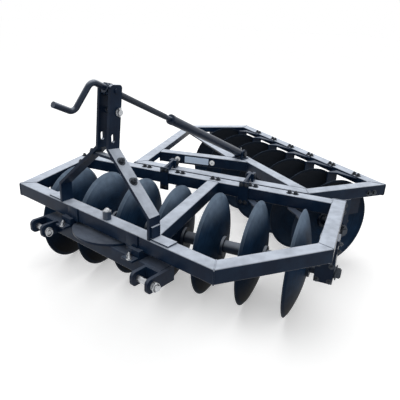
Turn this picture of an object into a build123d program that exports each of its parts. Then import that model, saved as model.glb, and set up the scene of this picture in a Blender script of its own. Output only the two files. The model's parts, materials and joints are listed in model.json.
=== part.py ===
from build123d import *
import math
import os

os.makedirs("parts", exist_ok=True)

# Offset disc harrow for a three-point linkage, in millimetres.
# x runs across the machine, y runs from the tractor side to the rear, z is up.
# Plan places are measured from the right end of the front bar; plan_centre
# moves the finished pieces to the middle of the machine.
plan_centre_x = -685.0
plan_centre_y = 1000.2

# Frame tube
tube = 70.0
tube_corner_r = 6.0
rear_tube_depth = 45.0

# Front frame corners on the outer side, counter-clockwise in plan
front_corners = {
    "left_front": (-1332.0, 0.0),
    "right_front": (0.0, 0.0),
    "right_knee": (270.0, 482.0),
    "right_rear": (95.0, 1050.0),
    "left_rear": (-1542.0, 600.0),
}

# Rear frame corners; the two front ones lie on the hinge side
frame_gap = 16.0
rear_left_station = 376.0
rear_right_station = 1494.0
rear_right = (163.0, 1489.0)
rear_far = (-1280.0, 2194.0)
rear_left = (-1640.0, 1776.0)

# Bars inside the frames: front ends, plan directions and places
strut_front_x = (-418.0, -345.0)
strut_run = (-218.0, 713.0)
cross_bar_rear = (-1253.0, 1081.0)
cross_bar_run = (449.0, 190.0)
left_brace_front = (-1200.0, 1452.0)
left_brace_run = (240.0, -130.0)
left_brace_t = 12.0
left_brace_edge_r = 2.0
brace_gap = 220.0
brace_end_x = -822.0
brace_end_slant = 26.0

# Discs and gangs
disc_r = 280.0
disc_dish = 61.0
disc_flat_r = 62.0
disc_t = 6.0
disc_bevel_r = 262.0
disc_edge_t = 1.5
disc_pitch = 228.6
disc_count = 7
axle_z = disc_r
frame_over_axle = 260.0
frame_top = axle_z + frame_over_axle
frame_bottom = frame_top - tube
front_gang_mid = (-650.0, 512.0)
rear_gang_inset = 285.0
rear_gang_start = 110.0

axle_side = 32.0
axle_fit = 0.3
spool_body_r = 34.0
spool_flange_r = 54.0
spool_flange_t = 14.0
journal_r = 30.0
running_fit = 0.06
end_washer_r = 38.0
end_washer_t = 6.0
end_nut_af = 52.0
end_nut_t = 16.0
axle_stub = 5.0

# Bearing hangers: place along the axle from the end disc's rim, outwards
hanger_len = 90.0
hanger_depth = 86.0
hanger_drop = 49.0
hanger_side_t = 12.0
housing_top = 62.0
front_right_hanger = 149.0
front_left_hanger = 94.0
rear_right_hanger = 61.0
rear_left_hanger = 173.0
rear_hanger_len = 76.0

# Scrapers: the front arms lie under their bar, the rear ones meet their bar's face
scraper_side = 96.0
scraper_arm_w = 42.0
scraper_under_bar = 61.0
rear_scraper_side = 149.0
rear_scraper_w = 56.0
rear_scraper_top = frame_top - 8.0
scraper_t = 8.0
scraper_bend = 30.0
scraper_off = 14.0
scraper_near = 118.0
scraper_far = 196.0
scraper_low = axle_z + 50.0
end_scraper_station = 352.0

# Mast: two bent flat bars that lean back above their feet
mast_x = -650.0
mast_plate_t = 14.0
mast_plate_w = 64.0
mast_foot_half = 310.0
mast_top_half = 42.0
mast_foot_top = frame_top + 102.0
mast_knee = 236.0
mast_len = 508.0
mast_lean = 5.0
mast_corner_r = 14.0
top_link_z = frame_top + 490.0
top_link_y = 82.0
top_link_r = 12.5
slot_z = frame_top + 381.0
slot_y = 50.0
slot_len = 38.0
slot_w = 20.0
cross_piece_low = 188.0
cross_piece_t = 12.0
cross_piece_in = 12.0
foot_base_len = 100.0
foot_base_t = 8.0
foot_gusset_t = 10.0
foot_gusset_top = frame_top + 61.0
foot_gusset_in = 8.0
top_pin_free = 14.0

# Lower hitch
hitch_x = -650.0
arm_tip_r = 22.0
beam_half = 398.0
beam_front_y = -25.0
beam_bottom = frame_bottom - 98.0
beam_side = 70.0
arm_t = 16.0
arm_gap = 70.0
arm_centre = beam_half - arm_gap / 2
arm_back_t = 12.0
arm_h = 66.0
arm_reach = 92.0
hitch_pin_r = 14.0
hitch_pin_y = -84.0
hitch_pin_z = beam_bottom + 35.0
hitch_pin_free = 28.0
pin_head_r = 6.0
pin_head_t = 10.7
pin_play = 0.3
pin_collar_t = 4.0
pin_lead = 1.5
clamp_offset = 238.0
clamp_w = 70.0
clamp_top = frame_bottom + 12.0

# Small post on the front bar
post_x = -636.0
post_y = 24.0
post_r = 20.0
post_h = 40.0
post_cap_r = 14.0

# Frame hinges
hinge_stations = {"left": 643.0, "right": 1147.0}
hinge_pin_r = 10.0
hinge_pin_rise = 32.0
clamp_plate_t = 10.0
clamp_plate_half = 27.0
clamp_rise = 32.0
clamp_drop = 37.573
hinge_arm_t = 14.0
hinge_head_r = 20.0
hinge_side_gap = 1.0
lug_t = 14.0
lug_half = 22.0
lug_top = 18.0
hinge_pin_out = 8.0
hinge_play = 0.5

# Levelling screw
rod_r = 13.0
crank_bend_r = 26.0
trunnion_pin_r = 10.0
trunnion_side = 46.0
trunnion_half = 23.0
collar_r = 21.0
collar_t = 10.0
seat_gap = 0.3
screw_top = (mast_x, 74.0, frame_top + 580.0)
screw_end = (-752.0, 1297.0, frame_top + 32.0)
tube_start = 470.0
tube_r = 25.0
tube_ring_t = 2.0
tube_ring_len = 20.0
rod_in_tube = 330.0
crank_front = 111.5
crank_throw = 148.0
crank_turn = 18.0
grip_len = 110.0
apex_pin_r = 10.0
eye_r = 20.0
eye_half = 14.0
eye_play = 2.0
lug_side_gap = 4.0
lug_side_t = 12.0

# Board and reflectors on the cross bar
board_start = 172.0
board_len = 169.0
board_high = frame_top - 13.0
board_h = 43.0
board_t = 3.0
reflector_at = (122.0, 368.0)
reflector_r = 12.5
reflector_t = 6.0
reflector_z = frame_top - 36.0


def sub(a, b):
    return (a[0] - b[0], a[1] - b[1])


def add(a, b, k=1.0):
    return (a[0] + b[0] * k, a[1] + b[1] * k)


def dot(a, b):
    return a[0] * b[0] + a[1] * b[1]


def unit(a):
    length = math.hypot(a[0], a[1])
    return (a[0] / length, a[1] / length)


def left_of(a):
    return (-a[1], a[0])


def meet(p, d, q, e):
    """point where the line p + d meets the line q + e in plan"""
    det = d[0] * -e[1] + e[0] * d[1]
    r = sub(q, p)
    k = (r[0] * -e[1] + e[0] * r[1]) / det
    return add(p, d, k)


def inner(before, here, after, width):
    """corner of the inner side of two bars that meet at here"""
    d0 = unit(sub(here, before))
    d1 = unit(sub(after, here))
    p0 = add(here, left_of(d0), width)
    p1 = add(here, left_of(d1), width)
    return meet(p0, d0, p1, d1)


def plate(points, bottom, top):
    """upright prism over a plan outline"""
    face = make_face(Polyline(*[(p[0], p[1], bottom) for p in points], close=True))
    return extrude(face, amount=top - bottom, dir=(0, 0, 1))


def bar(points, top=frame_top, depth=tube, corner=tube_corner_r):
    """tube with the long sides rounded; points run outer, outer, inner, inner"""
    solid = plate(points, top - depth, top)
    d = unit(sub(points[1], points[0]))
    long_edges = []
    for e in solid.edges():
        t = e % 0.5
        if abs(abs(t.X * d[0] + t.Y * d[1]) - 1.0) < 1e-3 and abs(t.Z) < 1e-6:
            long_edges.append(e)
    return fillet(long_edges, corner)


def frame_at(origin, direction, z=0.0):
    """location with its x along a plan direction"""
    return Pos(origin[0], origin[1], z) * Rot(0, 0, math.degrees(math.atan2(direction[1], direction[0])))


def box(x0, x1, y0, y1, z0, z1):
    x0, x1 = min(x0, x1), max(x0, x1)
    return Pos((x0 + x1) / 2, (y0 + y1) / 2, (z0 + z1) / 2) * Box(x1 - x0, y1 - y0, z1 - z0)


def rod_x(x0, x1, r, y=0.0, z=0.0):
    x0, x1 = min(x0, x1), max(x0, x1)
    return Pos((x0 + x1) / 2, y, z) * Rot(0, 90, 0) * Cylinder(r, x1 - x0)


def pin_x(x0, x1, r, y=0.0, z=0.0):
    """rod across the machine with both ends chamfered"""
    rod = rod_x(x0, x1, r, y, z)
    return chamfer(rod.edges().filter_by(GeomType.CIRCLE), pin_lead)


def rod_z(z0, z1, r, x=0.0, y=0.0):
    return Pos(x, y, (z0 + z1) / 2) * Cylinder(r, z1 - z0)


def hex_x(x0, x1, flats, y=0.0, z=0.0):
    prism = extrude(RegularPolygon(flats / 2, 6, major_radius=False), amount=x1 - x0)
    return Pos(x0, y, z) * Rot(0, 90, 0) * prism


def save(name, solids):
    """write one named piece, moved to the middle of the machine"""
    items = list(solids) if isinstance(solids, (list, tuple)) else [solids]
    move = Pos(-plan_centre_x, -plan_centre_y, 0)
    parts = []
    for item in items:
        for s in (move * item).solids():
            parts.append(s)
    shape = Compound(children=parts) if len(parts) > 1 else parts[0]
    shape.label = name
    export_step(shape, f"parts/{name}.step")
    saved.append(shape)


saved = []

# Front frame

LF = front_corners["left_front"]
RF = front_corners["right_front"]
RK = front_corners["right_knee"]
RR = front_corners["right_rear"]
LR = front_corners["left_rear"]
LF_in = inner(LR, LF, RF, tube)
RF_in = inner(LF, RF, RK, tube)
RK_in = inner(RF, RK, RR, tube)
RR_in = inner(RK, RR, LR, tube)
LR_in = inner(RR, LR, LF, tube)

u = unit(sub(RR, LR))
n = left_of(u)
side_dir = unit(sub(RR, RK))
RR_side = meet(RR_in, side_dir, LR, u)

save("front_bar", bar([LF, RF, RF_in, LF_in]))
save("right_front_bar", bar([RF, RK, RK_in, RF_in]))
save("right_side_bar", bar([RK, RR, RR_side, RK_in]))
save("front_gang_bar", bar([RR_side, LR, LR_in, RR_in]))
save("left_side_bar", bar([LR, LF, LF_in, LR_in]))

# Centre strut from the front bar to the front gang bar
strut_dir = unit(strut_run)
s0 = (strut_front_x[1], tube)
s1 = meet(s0, strut_dir, LR_in, u)
t0 = (strut_front_x[0], tube)
t1 = meet(t0, strut_dir, LR_in, u)
save("centre_strut", bar([s0, s1, t1, t0]))

# Rear frame

ER = add(add(LR, u, rear_left_station), n, frame_gap)
IR = add(add(LR, u, rear_right_station), n, frame_gap)
HR = rear_right
GR = rear_far
FR = rear_left
ER_in = inner(FR, ER, IR, tube)
IR_in = inner(ER, IR, HR, tube)
HR_in = inner(IR, HR, GR, tube)
GR_in = inner(HR, GR, FR, tube)
FR_in = inner(GR, FR, ER, tube)
save("rear_hinge_bar", bar([ER, IR, IR_in, ER_in]))
save("rear_right_bar", bar([IR, HR, HR_in, IR_in]))
save("rear_gang_bar", bar([HR, GR, GR_in, HR_in], depth=rear_tube_depth))
save("rear_far_bar", bar([GR, FR, FR_in, GR_in], depth=rear_tube_depth))
save("rear_left_bar", bar([FR, ER, ER_in, FR_in], depth=rear_tube_depth))

w = unit(sub(HR, GR))
m = (w[1], -w[0])
rear_end_mid = add(add(HR, w, -rear_gang_start), m, rear_gang_inset)

# Right brace, beside the rear discs and parallel to their axle
brace_rear = add(rear_end_mid, m, brace_gap)
brace_front = add(rear_end_mid, m, brace_gap + tube)
right_in_dir = unit(sub(HR_in, IR_in))
hinge_in_dir = unit(sub(IR_in, ER_in))
left_in_dir = unit(sub(FR_in, ER_in))
b_r = meet(brace_rear, w, IR_in, right_in_dir)
b_f = meet(brace_front, w, IR_in, right_in_dir)
c_r = add(brace_rear, w, (brace_end_x - brace_rear[0]) / w[0])
c_f = add(brace_front, w, (brace_end_x + brace_end_slant - brace_front[0]) / w[0])
if dot(sub(b_f, IR_in), right_in_dir) < 0:
    b_f = meet(brace_front, w, IR_in, hinge_in_dir)
    save("rear_brace_right", bar([c_f, b_f, IR_in, b_r, c_r]))
else:
    save("rear_brace_right", bar([c_f, b_f, b_r, c_r]))

# Cross bar from the left bar to the right brace
x_dir = unit(cross_bar_run)
x_rear = cross_bar_rear
x_front = add(x_rear, left_of(x_dir), -tube)
x0 = meet(x_rear, x_dir, ER_in, left_in_dir)
x1 = meet(x_front, x_dir, ER_in, left_in_dir)
x2 = meet(x_front, x_dir, brace_front, w)
x3 = meet(x_rear, x_dir, brace_front, w)
save("rear_cross_bar", bar([x1, x2, x3, x0]))

# Left brace from the left bar to the cross bar
y_dir = unit(left_brace_run)
y_front = left_brace_front
y_rear = add(y_front, left_of(y_dir), tube)
y0 = meet(y_front, y_dir, ER_in, left_in_dir)
y1 = meet(y_front, y_dir, x_rear, x_dir)
y2 = meet(y_rear, y_dir, x_rear, x_dir)
y3 = meet(y_rear, y_dir, ER_in, left_in_dir)
save("rear_brace_left", bar([y0, y1, y2, y3], depth=left_brace_t, corner=left_brace_edge_r))

# Disc blade: a dish with a flat middle, bevelled on its bulging side


def dish(r, radius, flat):
    """depth of the dish surface at radius r, zero at the rim radius"""
    rs = (radius * radius + flat * flat) / (2 * flat)
    return math.sqrt(rs * rs - r * r) - (rs - flat)


def blade(bore):
    inner_flat = dish(disc_flat_r, disc_r, disc_dish)
    outer_flat = inner_flat + disc_t
    mid_r = (disc_r + disc_flat_r) / 2
    rim_back = dish(disc_bevel_r, disc_r, disc_dish) + disc_t * 0.92
    mid_back_r = (disc_bevel_r + disc_flat_r) / 2
    mid_back = dish(mid_back_r, disc_r, disc_dish) + disc_t
    pts_in = ThreePointArc((inner_flat, disc_flat_r), (dish(mid_r, disc_r, disc_dish), mid_r), (0, disc_r))
    edge = Line((0, disc_r), (disc_edge_t, disc_r))
    bevel = Line((disc_edge_t, disc_r), (rim_back, disc_bevel_r))
    pts_out = ThreePointArc((rim_back, disc_bevel_r), (mid_back, mid_back_r), (outer_flat, disc_flat_r))
    flat_out = Line((outer_flat, disc_flat_r), (outer_flat, 0))
    axis_line = Line((outer_flat, 0), (inner_flat, 0))
    flat_in = Line((inner_flat, 0), (inner_flat, disc_flat_r))
    face = make_face([pts_in, edge, bevel, pts_out, flat_out, axis_line, flat_in])
    solid = revolve(face, Axis.X, 360)
    return solid - box(-disc_dish, 2 * disc_dish, -bore / 2, bore / 2, -bore / 2, bore / 2)


flat_face = dish(disc_flat_r, disc_r, disc_dish)
flat_back = flat_face + disc_t
hole_side = axle_side + 2 * axle_fit
one_blade = blade(hole_side)


def spool(x0, x1, r0, r1):
    """sleeve between two places on the axle with a flange at each end"""
    part = rod_x(x0, x1, spool_body_r)
    part += rod_x(x0, x0 + spool_flange_t, r0)
    part += rod_x(x1 - spool_flange_t, x1, r1)
    return part - box(x0 - 5, x1 + 5, -hole_side / 2, hole_side / 2, -hole_side / 2, hole_side / 2)


def journal(x0, x1, seat, seat_r):
    """bearing sleeve with one flange against the end disc"""
    part = rod_x(x0, x1, journal_r)
    if seat == "low":
        part += rod_x(x0, x0 + spool_flange_t, seat_r)
    else:
        part += rod_x(x1 - spool_flange_t, x1, seat_r)
    return part - box(x0 - 5, x1 + 5, -hole_side / 2, hole_side / 2, -hole_side / 2, hole_side / 2)


def gang(high_hanger, low_hanger, high_len, low_len):
    """pieces of one gang in its own frame: x along the axle, bulges towards +x, origin on the middle rim"""
    half = (disc_count - 1) / 2
    rims = [(k - half) * disc_pitch for k in range(disc_count)]
    discs = [Pos(x, 0, 0) * one_blade for x in rims]
    spools = []
    for k in range(disc_count - 1):
        spools.append(spool(rims[k] + flat_back, rims[k + 1] + flat_face, spool_flange_r, spool_flange_r - 8))
    high_end = rims[-1] + high_hanger + high_len / 2 + 6
    low_end = rims[0] - low_hanger - low_len / 2 - 6
    journals = [
        journal(rims[-1] + flat_back, high_end, "low", spool_flange_r),
        journal(low_end, rims[0] + flat_face, "high", spool_flange_r - 8),
    ]
    axle_lo = low_end - end_washer_t - end_nut_t - axle_stub
    axle_hi = high_end + end_washer_t + end_nut_t + axle_stub
    axle = box(axle_lo, axle_hi, -axle_side / 2, axle_side / 2, -axle_side / 2, axle_side / 2)
    cut = hole_side / 2
    ends = []
    for a, b, c in (
        (high_end, high_end + end_washer_t, high_end + end_washer_t + end_nut_t),
        (low_end - end_washer_t, low_end, low_end - end_washer_t - end_nut_t),
    ):
        piece = rod_x(a, b, end_washer_r)
        piece += hex_x(min(c, b), max(c, a), end_nut_af)
        ends.append(piece - box(min(a, c) - 5, max(b, c) + 5, -cut, cut, -cut, cut))
    return discs, spools, journals, axle, ends


def hanger(length, top):
    """bearing hanger under a bar: housing with two side plates up to the bar, origin on the axle"""
    half = length / 2
    side = hanger_side_t
    block = box(-half, half, -hanger_depth / 2, hanger_depth / 2, -hanger_drop, housing_top)
    web_a = box(-half, -half + side, -hanger_depth / 2, hanger_depth / 2, housing_top, top)
    web_b = box(half - side, half, -hanger_depth / 2, hanger_depth / 2, housing_top, top)
    back = box(-half, half, hanger_depth / 2 - side, hanger_depth / 2, housing_top, top)
    body = block + web_a + web_b + back
    return body - rod_x(-half - 5, half + 5, journal_r + running_fit)


half_span = (disc_count - 1) / 2 * disc_pitch
front_loc = frame_at(front_gang_mid, u, axle_z)
discs, spools, journals, axle, ends = gang(front_right_hanger, front_left_hanger, hanger_len, hanger_len)
save("front_discs", [front_loc * d for d in discs])
save("front_spools", [front_loc * s for s in spools + journals])
save("front_axle", front_loc * axle)
save("front_axle_nuts", [front_loc * e for e in ends])

rear_gang_mid = add(rear_end_mid, w, -half_span)
rear_loc = frame_at(rear_gang_mid, (-w[0], -w[1]), axle_z)
discs, spools, journals, axle, ends = gang(rear_left_hanger, rear_right_hanger, hanger_len, rear_hanger_len)
save("rear_discs", [rear_loc * d for d in discs])
save("rear_spools", [rear_loc * s for s in spools + journals])
save("rear_axle", rear_loc * axle)
save("rear_axle_nuts", [rear_loc * e for e in ends])

hang_top = frame_bottom - axle_z
rear_hang_top = frame_top - rear_tube_depth - axle_z
save("front_hangers", [
    front_loc * Pos(half_span + front_right_hanger, 0, 0) * hanger(hanger_len, hang_top),
    front_loc * Pos(-half_span - front_left_hanger, 0, 0) * hanger(hanger_len, hang_top),
])
save("rear_hangers", [
    rear_loc * Pos(half_span + rear_left_hanger, 0, 0) * hanger(hanger_len, rear_hang_top),
    rear_loc * Pos(-half_span - rear_right_hanger, 0, 0) * hanger(rear_hanger_len, hang_top),
])

# Scrapers: an arm from the gang bar and a leaf beside the hollow side of its disc


def scraper(side, width, bar_inner, reach, top):
    """origin on the axle at the disc rim, hollow side towards -x, bar at +y; the arm ends at reach"""
    arm_pts = [
        (-side - width / 2, reach),
        (-side - width / 2, bar_inner - scraper_t),
        (-scraper_off - scraper_t - scraper_bend, scraper_far - scraper_bend),
        (-scraper_off - scraper_t, scraper_near),
        (-scraper_off, scraper_near),
        (-scraper_off, scraper_far),
        (-side + width / 2, bar_inner - scraper_t / 4),
        (-side + width / 2, reach),
    ]
    arm = plate(arm_pts, top - scraper_t, top)
    leaf = box(-scraper_off - scraper_t, -scraper_off, scraper_near, scraper_far, scraper_low, top - scraper_t)
    return arm + leaf


front_bar_inner = dot(sub(LR_in, front_gang_mid), n)
front_ground = frame_at(front_gang_mid, u, 0)
under_bar = front_bar_inner + scraper_under_bar
front_scraper = scraper(scraper_side, scraper_arm_w, front_bar_inner, under_bar, frame_bottom)
save("front_scrapers", [
    front_ground * Pos((k - 3) * disc_pitch, 0, 0) * front_scraper for k in range(disc_count)
])

rear_bar_inner = rear_gang_inset - tube
rear_scraper = scraper(rear_scraper_side, rear_scraper_w, rear_bar_inner, rear_bar_inner, rear_scraper_top)
rear_ground = frame_at(rear_gang_mid, w, 0)
flip = mirror(rear_scraper, about=Plane.YZ)
rear_scrapers = [rear_ground * Pos((3 - k) * disc_pitch, 0, 0) * flip for k in range(1, disc_count)]
right_bar_mid = add(IR_in, left_of(right_in_dir), -tube / 2)
near_leaf = add(add(rear_end_mid, w, scraper_off + scraper_t), m, -scraper_near)
far_leaf = add(add(rear_end_mid, w, scraper_off), m, -scraper_far)
end_arm = [
    add(near_leaf, w, -scraper_t),
    near_leaf,
    add(right_bar_mid, right_in_dir, end_scraper_station),
    add(right_bar_mid, right_in_dir, end_scraper_station + rear_scraper_w),
    add(far_leaf, w, scraper_t),
    far_leaf,
]
end_leaf = [end_arm[0], near_leaf, end_arm[4], far_leaf]
rear_scrapers.append(
    plate(end_arm, frame_bottom - scraper_t, frame_bottom)
    + plate(end_leaf, scraper_low, frame_bottom - scraper_t)
)
save("rear_scrapers", rear_scrapers)

# Mast: two bent flat bars on the front bar


def section(pts):
    """flat bar profile in the plane across the machine, extruded backwards by the bar's width"""
    face = make_face(Polyline(*[(q[0], 0, q[1]) for q in pts], close=True))
    return extrude(face, amount=mast_plate_w, dir=(0, 1, 0))


foot_low = (mast_foot_half, frame_top - mast_foot_top)
foot_high = (mast_foot_half, 0.0)
knee = (mast_top_half, mast_knee)
top_end = (mast_top_half, mast_len)
foot_low_in = (mast_foot_half - mast_plate_t, frame_top - mast_foot_top)
foot_high_in = inner(foot_low, foot_high, knee, mast_plate_t)
knee_in = inner(foot_high, knee, top_end, mast_plate_t)
top_end_in = (mast_top_half - mast_plate_t, mast_len)
leg_foot = section([foot_low, foot_high, foot_high_in, foot_low_in])
leg_top = section([foot_high, knee, top_end, top_end_in, knee_in, foot_high_in])
leg_top = fillet(leg_top.edges().filter_by(Axis.X).group_by(Axis.Z)[-1], mast_corner_r)
right_leg = leg_foot + Rot(-mast_lean, 0, 0) * leg_top


def mast_leg(leg):
    """one leg in its place with the holes for the pins"""
    leg = Pos(mast_x, 0, mast_foot_top) * leg
    reach = 2 * mast_top_half
    leg -= rod_x(mast_x - reach, mast_x + reach, top_link_r + running_fit, top_link_y, top_link_z)
    slot = Rot(0, 90, 0) * extrude(SlotOverall(slot_len, slot_w), amount=reach, both=True)
    leg -= Pos(mast_x, slot_y, slot_z) * slot
    return leg - rod_x(mast_x - reach, mast_x + reach, trunnion_pin_r + running_fit, screw_top[1], screw_top[2])


save("mast_plate_right", mast_leg(right_leg))
save("mast_plate_left", mast_leg(mirror(right_leg, about=Plane.YZ)))

leg_dir = unit(sub(knee_in, foot_high_in))


def leg_inside(z):
    """half the space between the sloping legs at a height above their feet"""
    return knee_in[0] + (z - knee_in[1]) * leg_dir[0] / leg_dir[1]


low_half = leg_inside(cross_piece_low)
high_half = leg_inside(cross_piece_low + cross_piece_t)
cross_points = [
    (-low_half, cross_piece_low),
    (low_half, cross_piece_low),
    (high_half, cross_piece_low + cross_piece_t),
    (-high_half, cross_piece_low + cross_piece_t),
]
cross_face = make_face(Polyline(*[(q[0], cross_piece_in, q[1]) for q in cross_points], close=True))
cross_piece = extrude(cross_face, amount=mast_plate_w - 2 * cross_piece_in, dir=(0, 1, 0))
save("mast_cross_piece", Pos(mast_x, 0, mast_foot_top) * Rot(-mast_lean, 0, 0) * cross_piece)

# Brackets beside the mast's feet: a base plate on the bar and a gusset against the foot
foot_brackets = []
for side in (-1, 1):
    foot_face = mast_x + side * mast_foot_half
    base_end = foot_face + side * foot_base_len
    gusset_end = foot_face + side * foot_gusset_t
    base_top = frame_top + foot_base_t
    bracket = box(foot_face, base_end, tube_corner_r, tube - tube_corner_r, frame_top, base_top)
    rear_y = mast_plate_w - foot_gusset_in
    bracket += box(foot_face, gusset_end, foot_gusset_in, rear_y, base_top, foot_gusset_top)
    foot_brackets.append(bracket)
save("foot_brackets", foot_brackets)


def captive_pin(x, side, grip, free, r, y, z):
    """pin through two walls: head against one, collar against the other, then a free end towards side"""
    head = x - side * (grip + pin_play)
    collar = x + side * (grip + pin_play)
    tip = collar + side * (pin_collar_t + free)
    body = pin_x(head - side * pin_lead, tip, r, y, z)
    body += pin_x(head - side * pin_head_t, head, r + pin_head_r, y, z)
    return body + rod_x(collar, collar + side * pin_collar_t, r + pin_head_r - pin_lead, y, z)


top_pin = captive_pin(mast_x, 1, mast_top_half, top_pin_free, top_link_r, top_link_y, top_link_z)
save("top_link_pin", top_pin)

# Lower hitch: beam under the front bar, two forks and their pins
beam_top = beam_bottom + beam_side
beam_back_y = beam_front_y + beam_side
beam = box(hitch_x - beam_half, hitch_x + beam_half, beam_front_y, beam_back_y, beam_bottom, beam_top)
save("hitch_beam", fillet(beam.edges().filter_by(Axis.X), tube_corner_r))

arm_low = hitch_pin_z - arm_h / 2
arm_high = hitch_pin_z + arm_h / 2
forks = []
for s in (-1, 1):
    cx = hitch_x + s * arm_centre
    near_in = cx - s * arm_gap / 2
    far_in = cx + s * arm_gap / 2
    tip_y = beam_front_y - arm_reach
    near = box(near_in - s * arm_t, near_in, tip_y, beam_front_y, arm_low, arm_high)
    far = box(far_in, far_in + s * arm_t, tip_y, beam_back_y, arm_low, arm_high)
    near = fillet(near.edges().filter_by(Axis.X).group_by(Axis.Y)[0], arm_tip_r)
    far = fillet(far.edges().filter_by(Axis.X).group_by(Axis.Y)[0], arm_tip_r)
    back = box(near_in, far_in, beam_front_y - arm_back_t, beam_front_y, arm_low, arm_high)
    fork = near + far + back
    bore_half = arm_gap / 2 + 2 * arm_t
    fork = fork - rod_x(cx - bore_half, cx + bore_half, hitch_pin_r + running_fit, hitch_pin_y, hitch_pin_z)
    forks.append(fork)
save("hitch_forks", forks)

pins = []
for side in (-1, 1):
    cx = hitch_x + side * arm_centre
    grip = arm_gap / 2 + arm_t
    pins.append(captive_pin(cx, side, grip, hitch_pin_free, hitch_pin_r, hitch_pin_y, hitch_pin_z))
save("hitch_pins", pins)

clamps = []
for s in (-1, 1):
    cx = hitch_x + s * clamp_offset
    block = box(cx - clamp_w / 2, cx + clamp_w / 2, beam_front_y, beam_back_y, beam_top, frame_bottom)
    block += box(cx - clamp_w / 2, cx + clamp_w / 2, beam_front_y, 0, beam_top, clamp_top)
    clamps.append(block)
save("hitch_clamps", clamps)

# Small post on the front bar
post = rod_z(frame_top, frame_top + post_h, post_r, post_x, post_y)
post += Pos(post_x, post_y, frame_top + post_h) * Sphere(post_cap_r)
save("bar_post", post)

# Frame hinges
hinge_n = frame_gap + tube / 2
hinge_z = frame_top + hinge_pin_rise
bracket_low = frame_bottom - clamp_drop
hinge_half = hinge_arm_t / 2 + hinge_side_gap + lug_t
arm_back = -tube - clamp_plate_t
brackets = []
lugs = []
hpins = []
for station in hinge_stations.values():
    base = add(LR, u, station)
    loc = frame_at(base, u, 0)
    # Clamp plate on the bar's front face with an arm that rises from it to the pin
    body = box(-clamp_plate_half, clamp_plate_half, arm_back, -tube, bracket_low, frame_top + clamp_rise)
    arm_pts = [
        (arm_back, frame_top), (arm_back, frame_top + clamp_rise), (hinge_n, hinge_z + hinge_head_r),
        (hinge_n, hinge_z), (hinge_n - hinge_head_r, hinge_z - hinge_head_r / 2), (-2 * tube_corner_r, frame_top),
    ]
    face = make_face(Polyline(*[(-hinge_arm_t / 2, p[0], p[1]) for p in arm_pts], close=True))
    body += extrude(face, amount=hinge_arm_t, dir=(1, 0, 0))
    body += rod_x(-hinge_arm_t / 2, hinge_arm_t / 2, hinge_head_r, hinge_n, hinge_z)
    body -= rod_x(-hinge_half, hinge_half, hinge_pin_r + running_fit, hinge_n, hinge_z)
    brackets.append(loc * body)
    # Two lugs on the rear frame, one at each side of the arm
    for side in (-1, 1):
        lug = box(side * (hinge_half - lug_t), side * hinge_half, hinge_n - lug_half, hinge_n + lug_half,
                  frame_top, hinge_z + lug_top)
        lug -= rod_x(-2 * hinge_half, 2 * hinge_half, hinge_pin_r + running_fit, hinge_n, hinge_z)
        lugs.append(loc * lug)
    pin = pin_x(-hinge_half - hinge_pin_out, hinge_half + hinge_pin_out, hinge_pin_r, hinge_n, hinge_z)
    pin += pin_x(hinge_half + hinge_play, hinge_half + hinge_pin_out, hinge_pin_r + pin_head_r, hinge_n, hinge_z)
    hpins.append(loc * pin)
save("hinge_brackets", brackets)
save("hinge_lugs", lugs)
save("hinge_pins", hpins)

# Levelling screw between the mast and the rear frame
sx, sy, sz = screw_top
ex, ey, ez = screw_end
run = math.sqrt((ex - sx) ** 2 + (ey - sy) ** 2 + (ez - sz) ** 2)
axis_dir = Vector((ex - sx) / run, (ey - sy) / run, (ez - sz) / run)
screw_plane = Plane(origin=(sx, sy, sz), x_dir=(1, 0, 0), z_dir=axis_dir)


def along(z0, z1, r):
    return screw_plane.location * Pos(0, 0, (z0 + z1) / 2) * Cylinder(r, z1 - z0)


trunnion_reach = mast_top_half + 6
block = screw_plane.location * Box(2 * trunnion_half, trunnion_side, trunnion_side)
block += rod_x(sx - trunnion_reach, sx + trunnion_reach, trunnion_pin_r, sy, sz)
save("screw_trunnion", block - along(-trunnion_side, trunnion_side, rod_r + running_fit))

crank_at = screw_plane.location * Rot(0, 0, crank_turn)
crank_path = FilletPolyline(
    (0, 0, tube_start + rod_in_tube),
    (0, 0, -crank_front),
    (0, crank_throw, -crank_front),
    (0, crank_throw, -crank_front - grip_len),
    radius=crank_bend_r,
)
rod_end = Plane(origin=crank_path @ 0, z_dir=crank_path % 0)
screw = crank_at * sweep(rod_end * Circle(rod_r), path=crank_path)
collar_z = trunnion_side / 2 + seat_gap
screw += along(collar_z, collar_z + collar_t, collar_r)
screw += along(-collar_z - collar_t, -collar_z, collar_r)
save("levelling_screw", screw)

sleeve = along(tube_start, run - eye_r - 24, tube_r)
sleeve += along(tube_start, tube_start + tube_ring_len, tube_r + tube_ring_t)
sleeve -= along(tube_start - 30, tube_start + rod_in_tube + 60, rod_r + running_fit)
sleeve += along(run - eye_r - 30, run, eye_half)
sleeve += rod_x(ex - eye_half, ex + eye_half, eye_r, ey, ez)
save("levelling_tube", sleeve - rod_x(ex - 2 * eye_half, ex + 2 * eye_half, apex_pin_r + eye_play, ey, ez))

# Lugs and pin that hold the lower eye of the screw
apex_reach = eye_half + lug_side_gap + lug_side_t
apex = []
for s in (-1, 1):
    a = ex + s * (eye_half + lug_side_gap)
    b = a + s * lug_side_t
    cheek = box(a, b, ey - 30, ey + 30, frame_top, ez)
    cheek += rod_x(min(a, b), max(a, b), 30, ey, ez)
    apex.append(cheek - rod_x(ex - apex_reach - 5, ex + apex_reach + 5, apex_pin_r + running_fit, ey, ez))
apex_base = box(ex - apex_reach - 14, ex + apex_reach + 14, ey - 34, ey + 34, frame_top, frame_top + 6)
save("apex_lugs", apex_base + apex[0] + apex[1])
apin = pin_x(ex - apex_reach - 12, ex + apex_reach + 12, apex_pin_r, ey, ez)
apin += pin_x(ex + apex_reach + pin_play, ex + apex_reach + 12, apex_pin_r + pin_head_r, ey, ez)
save("apex_pin", apin)

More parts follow.
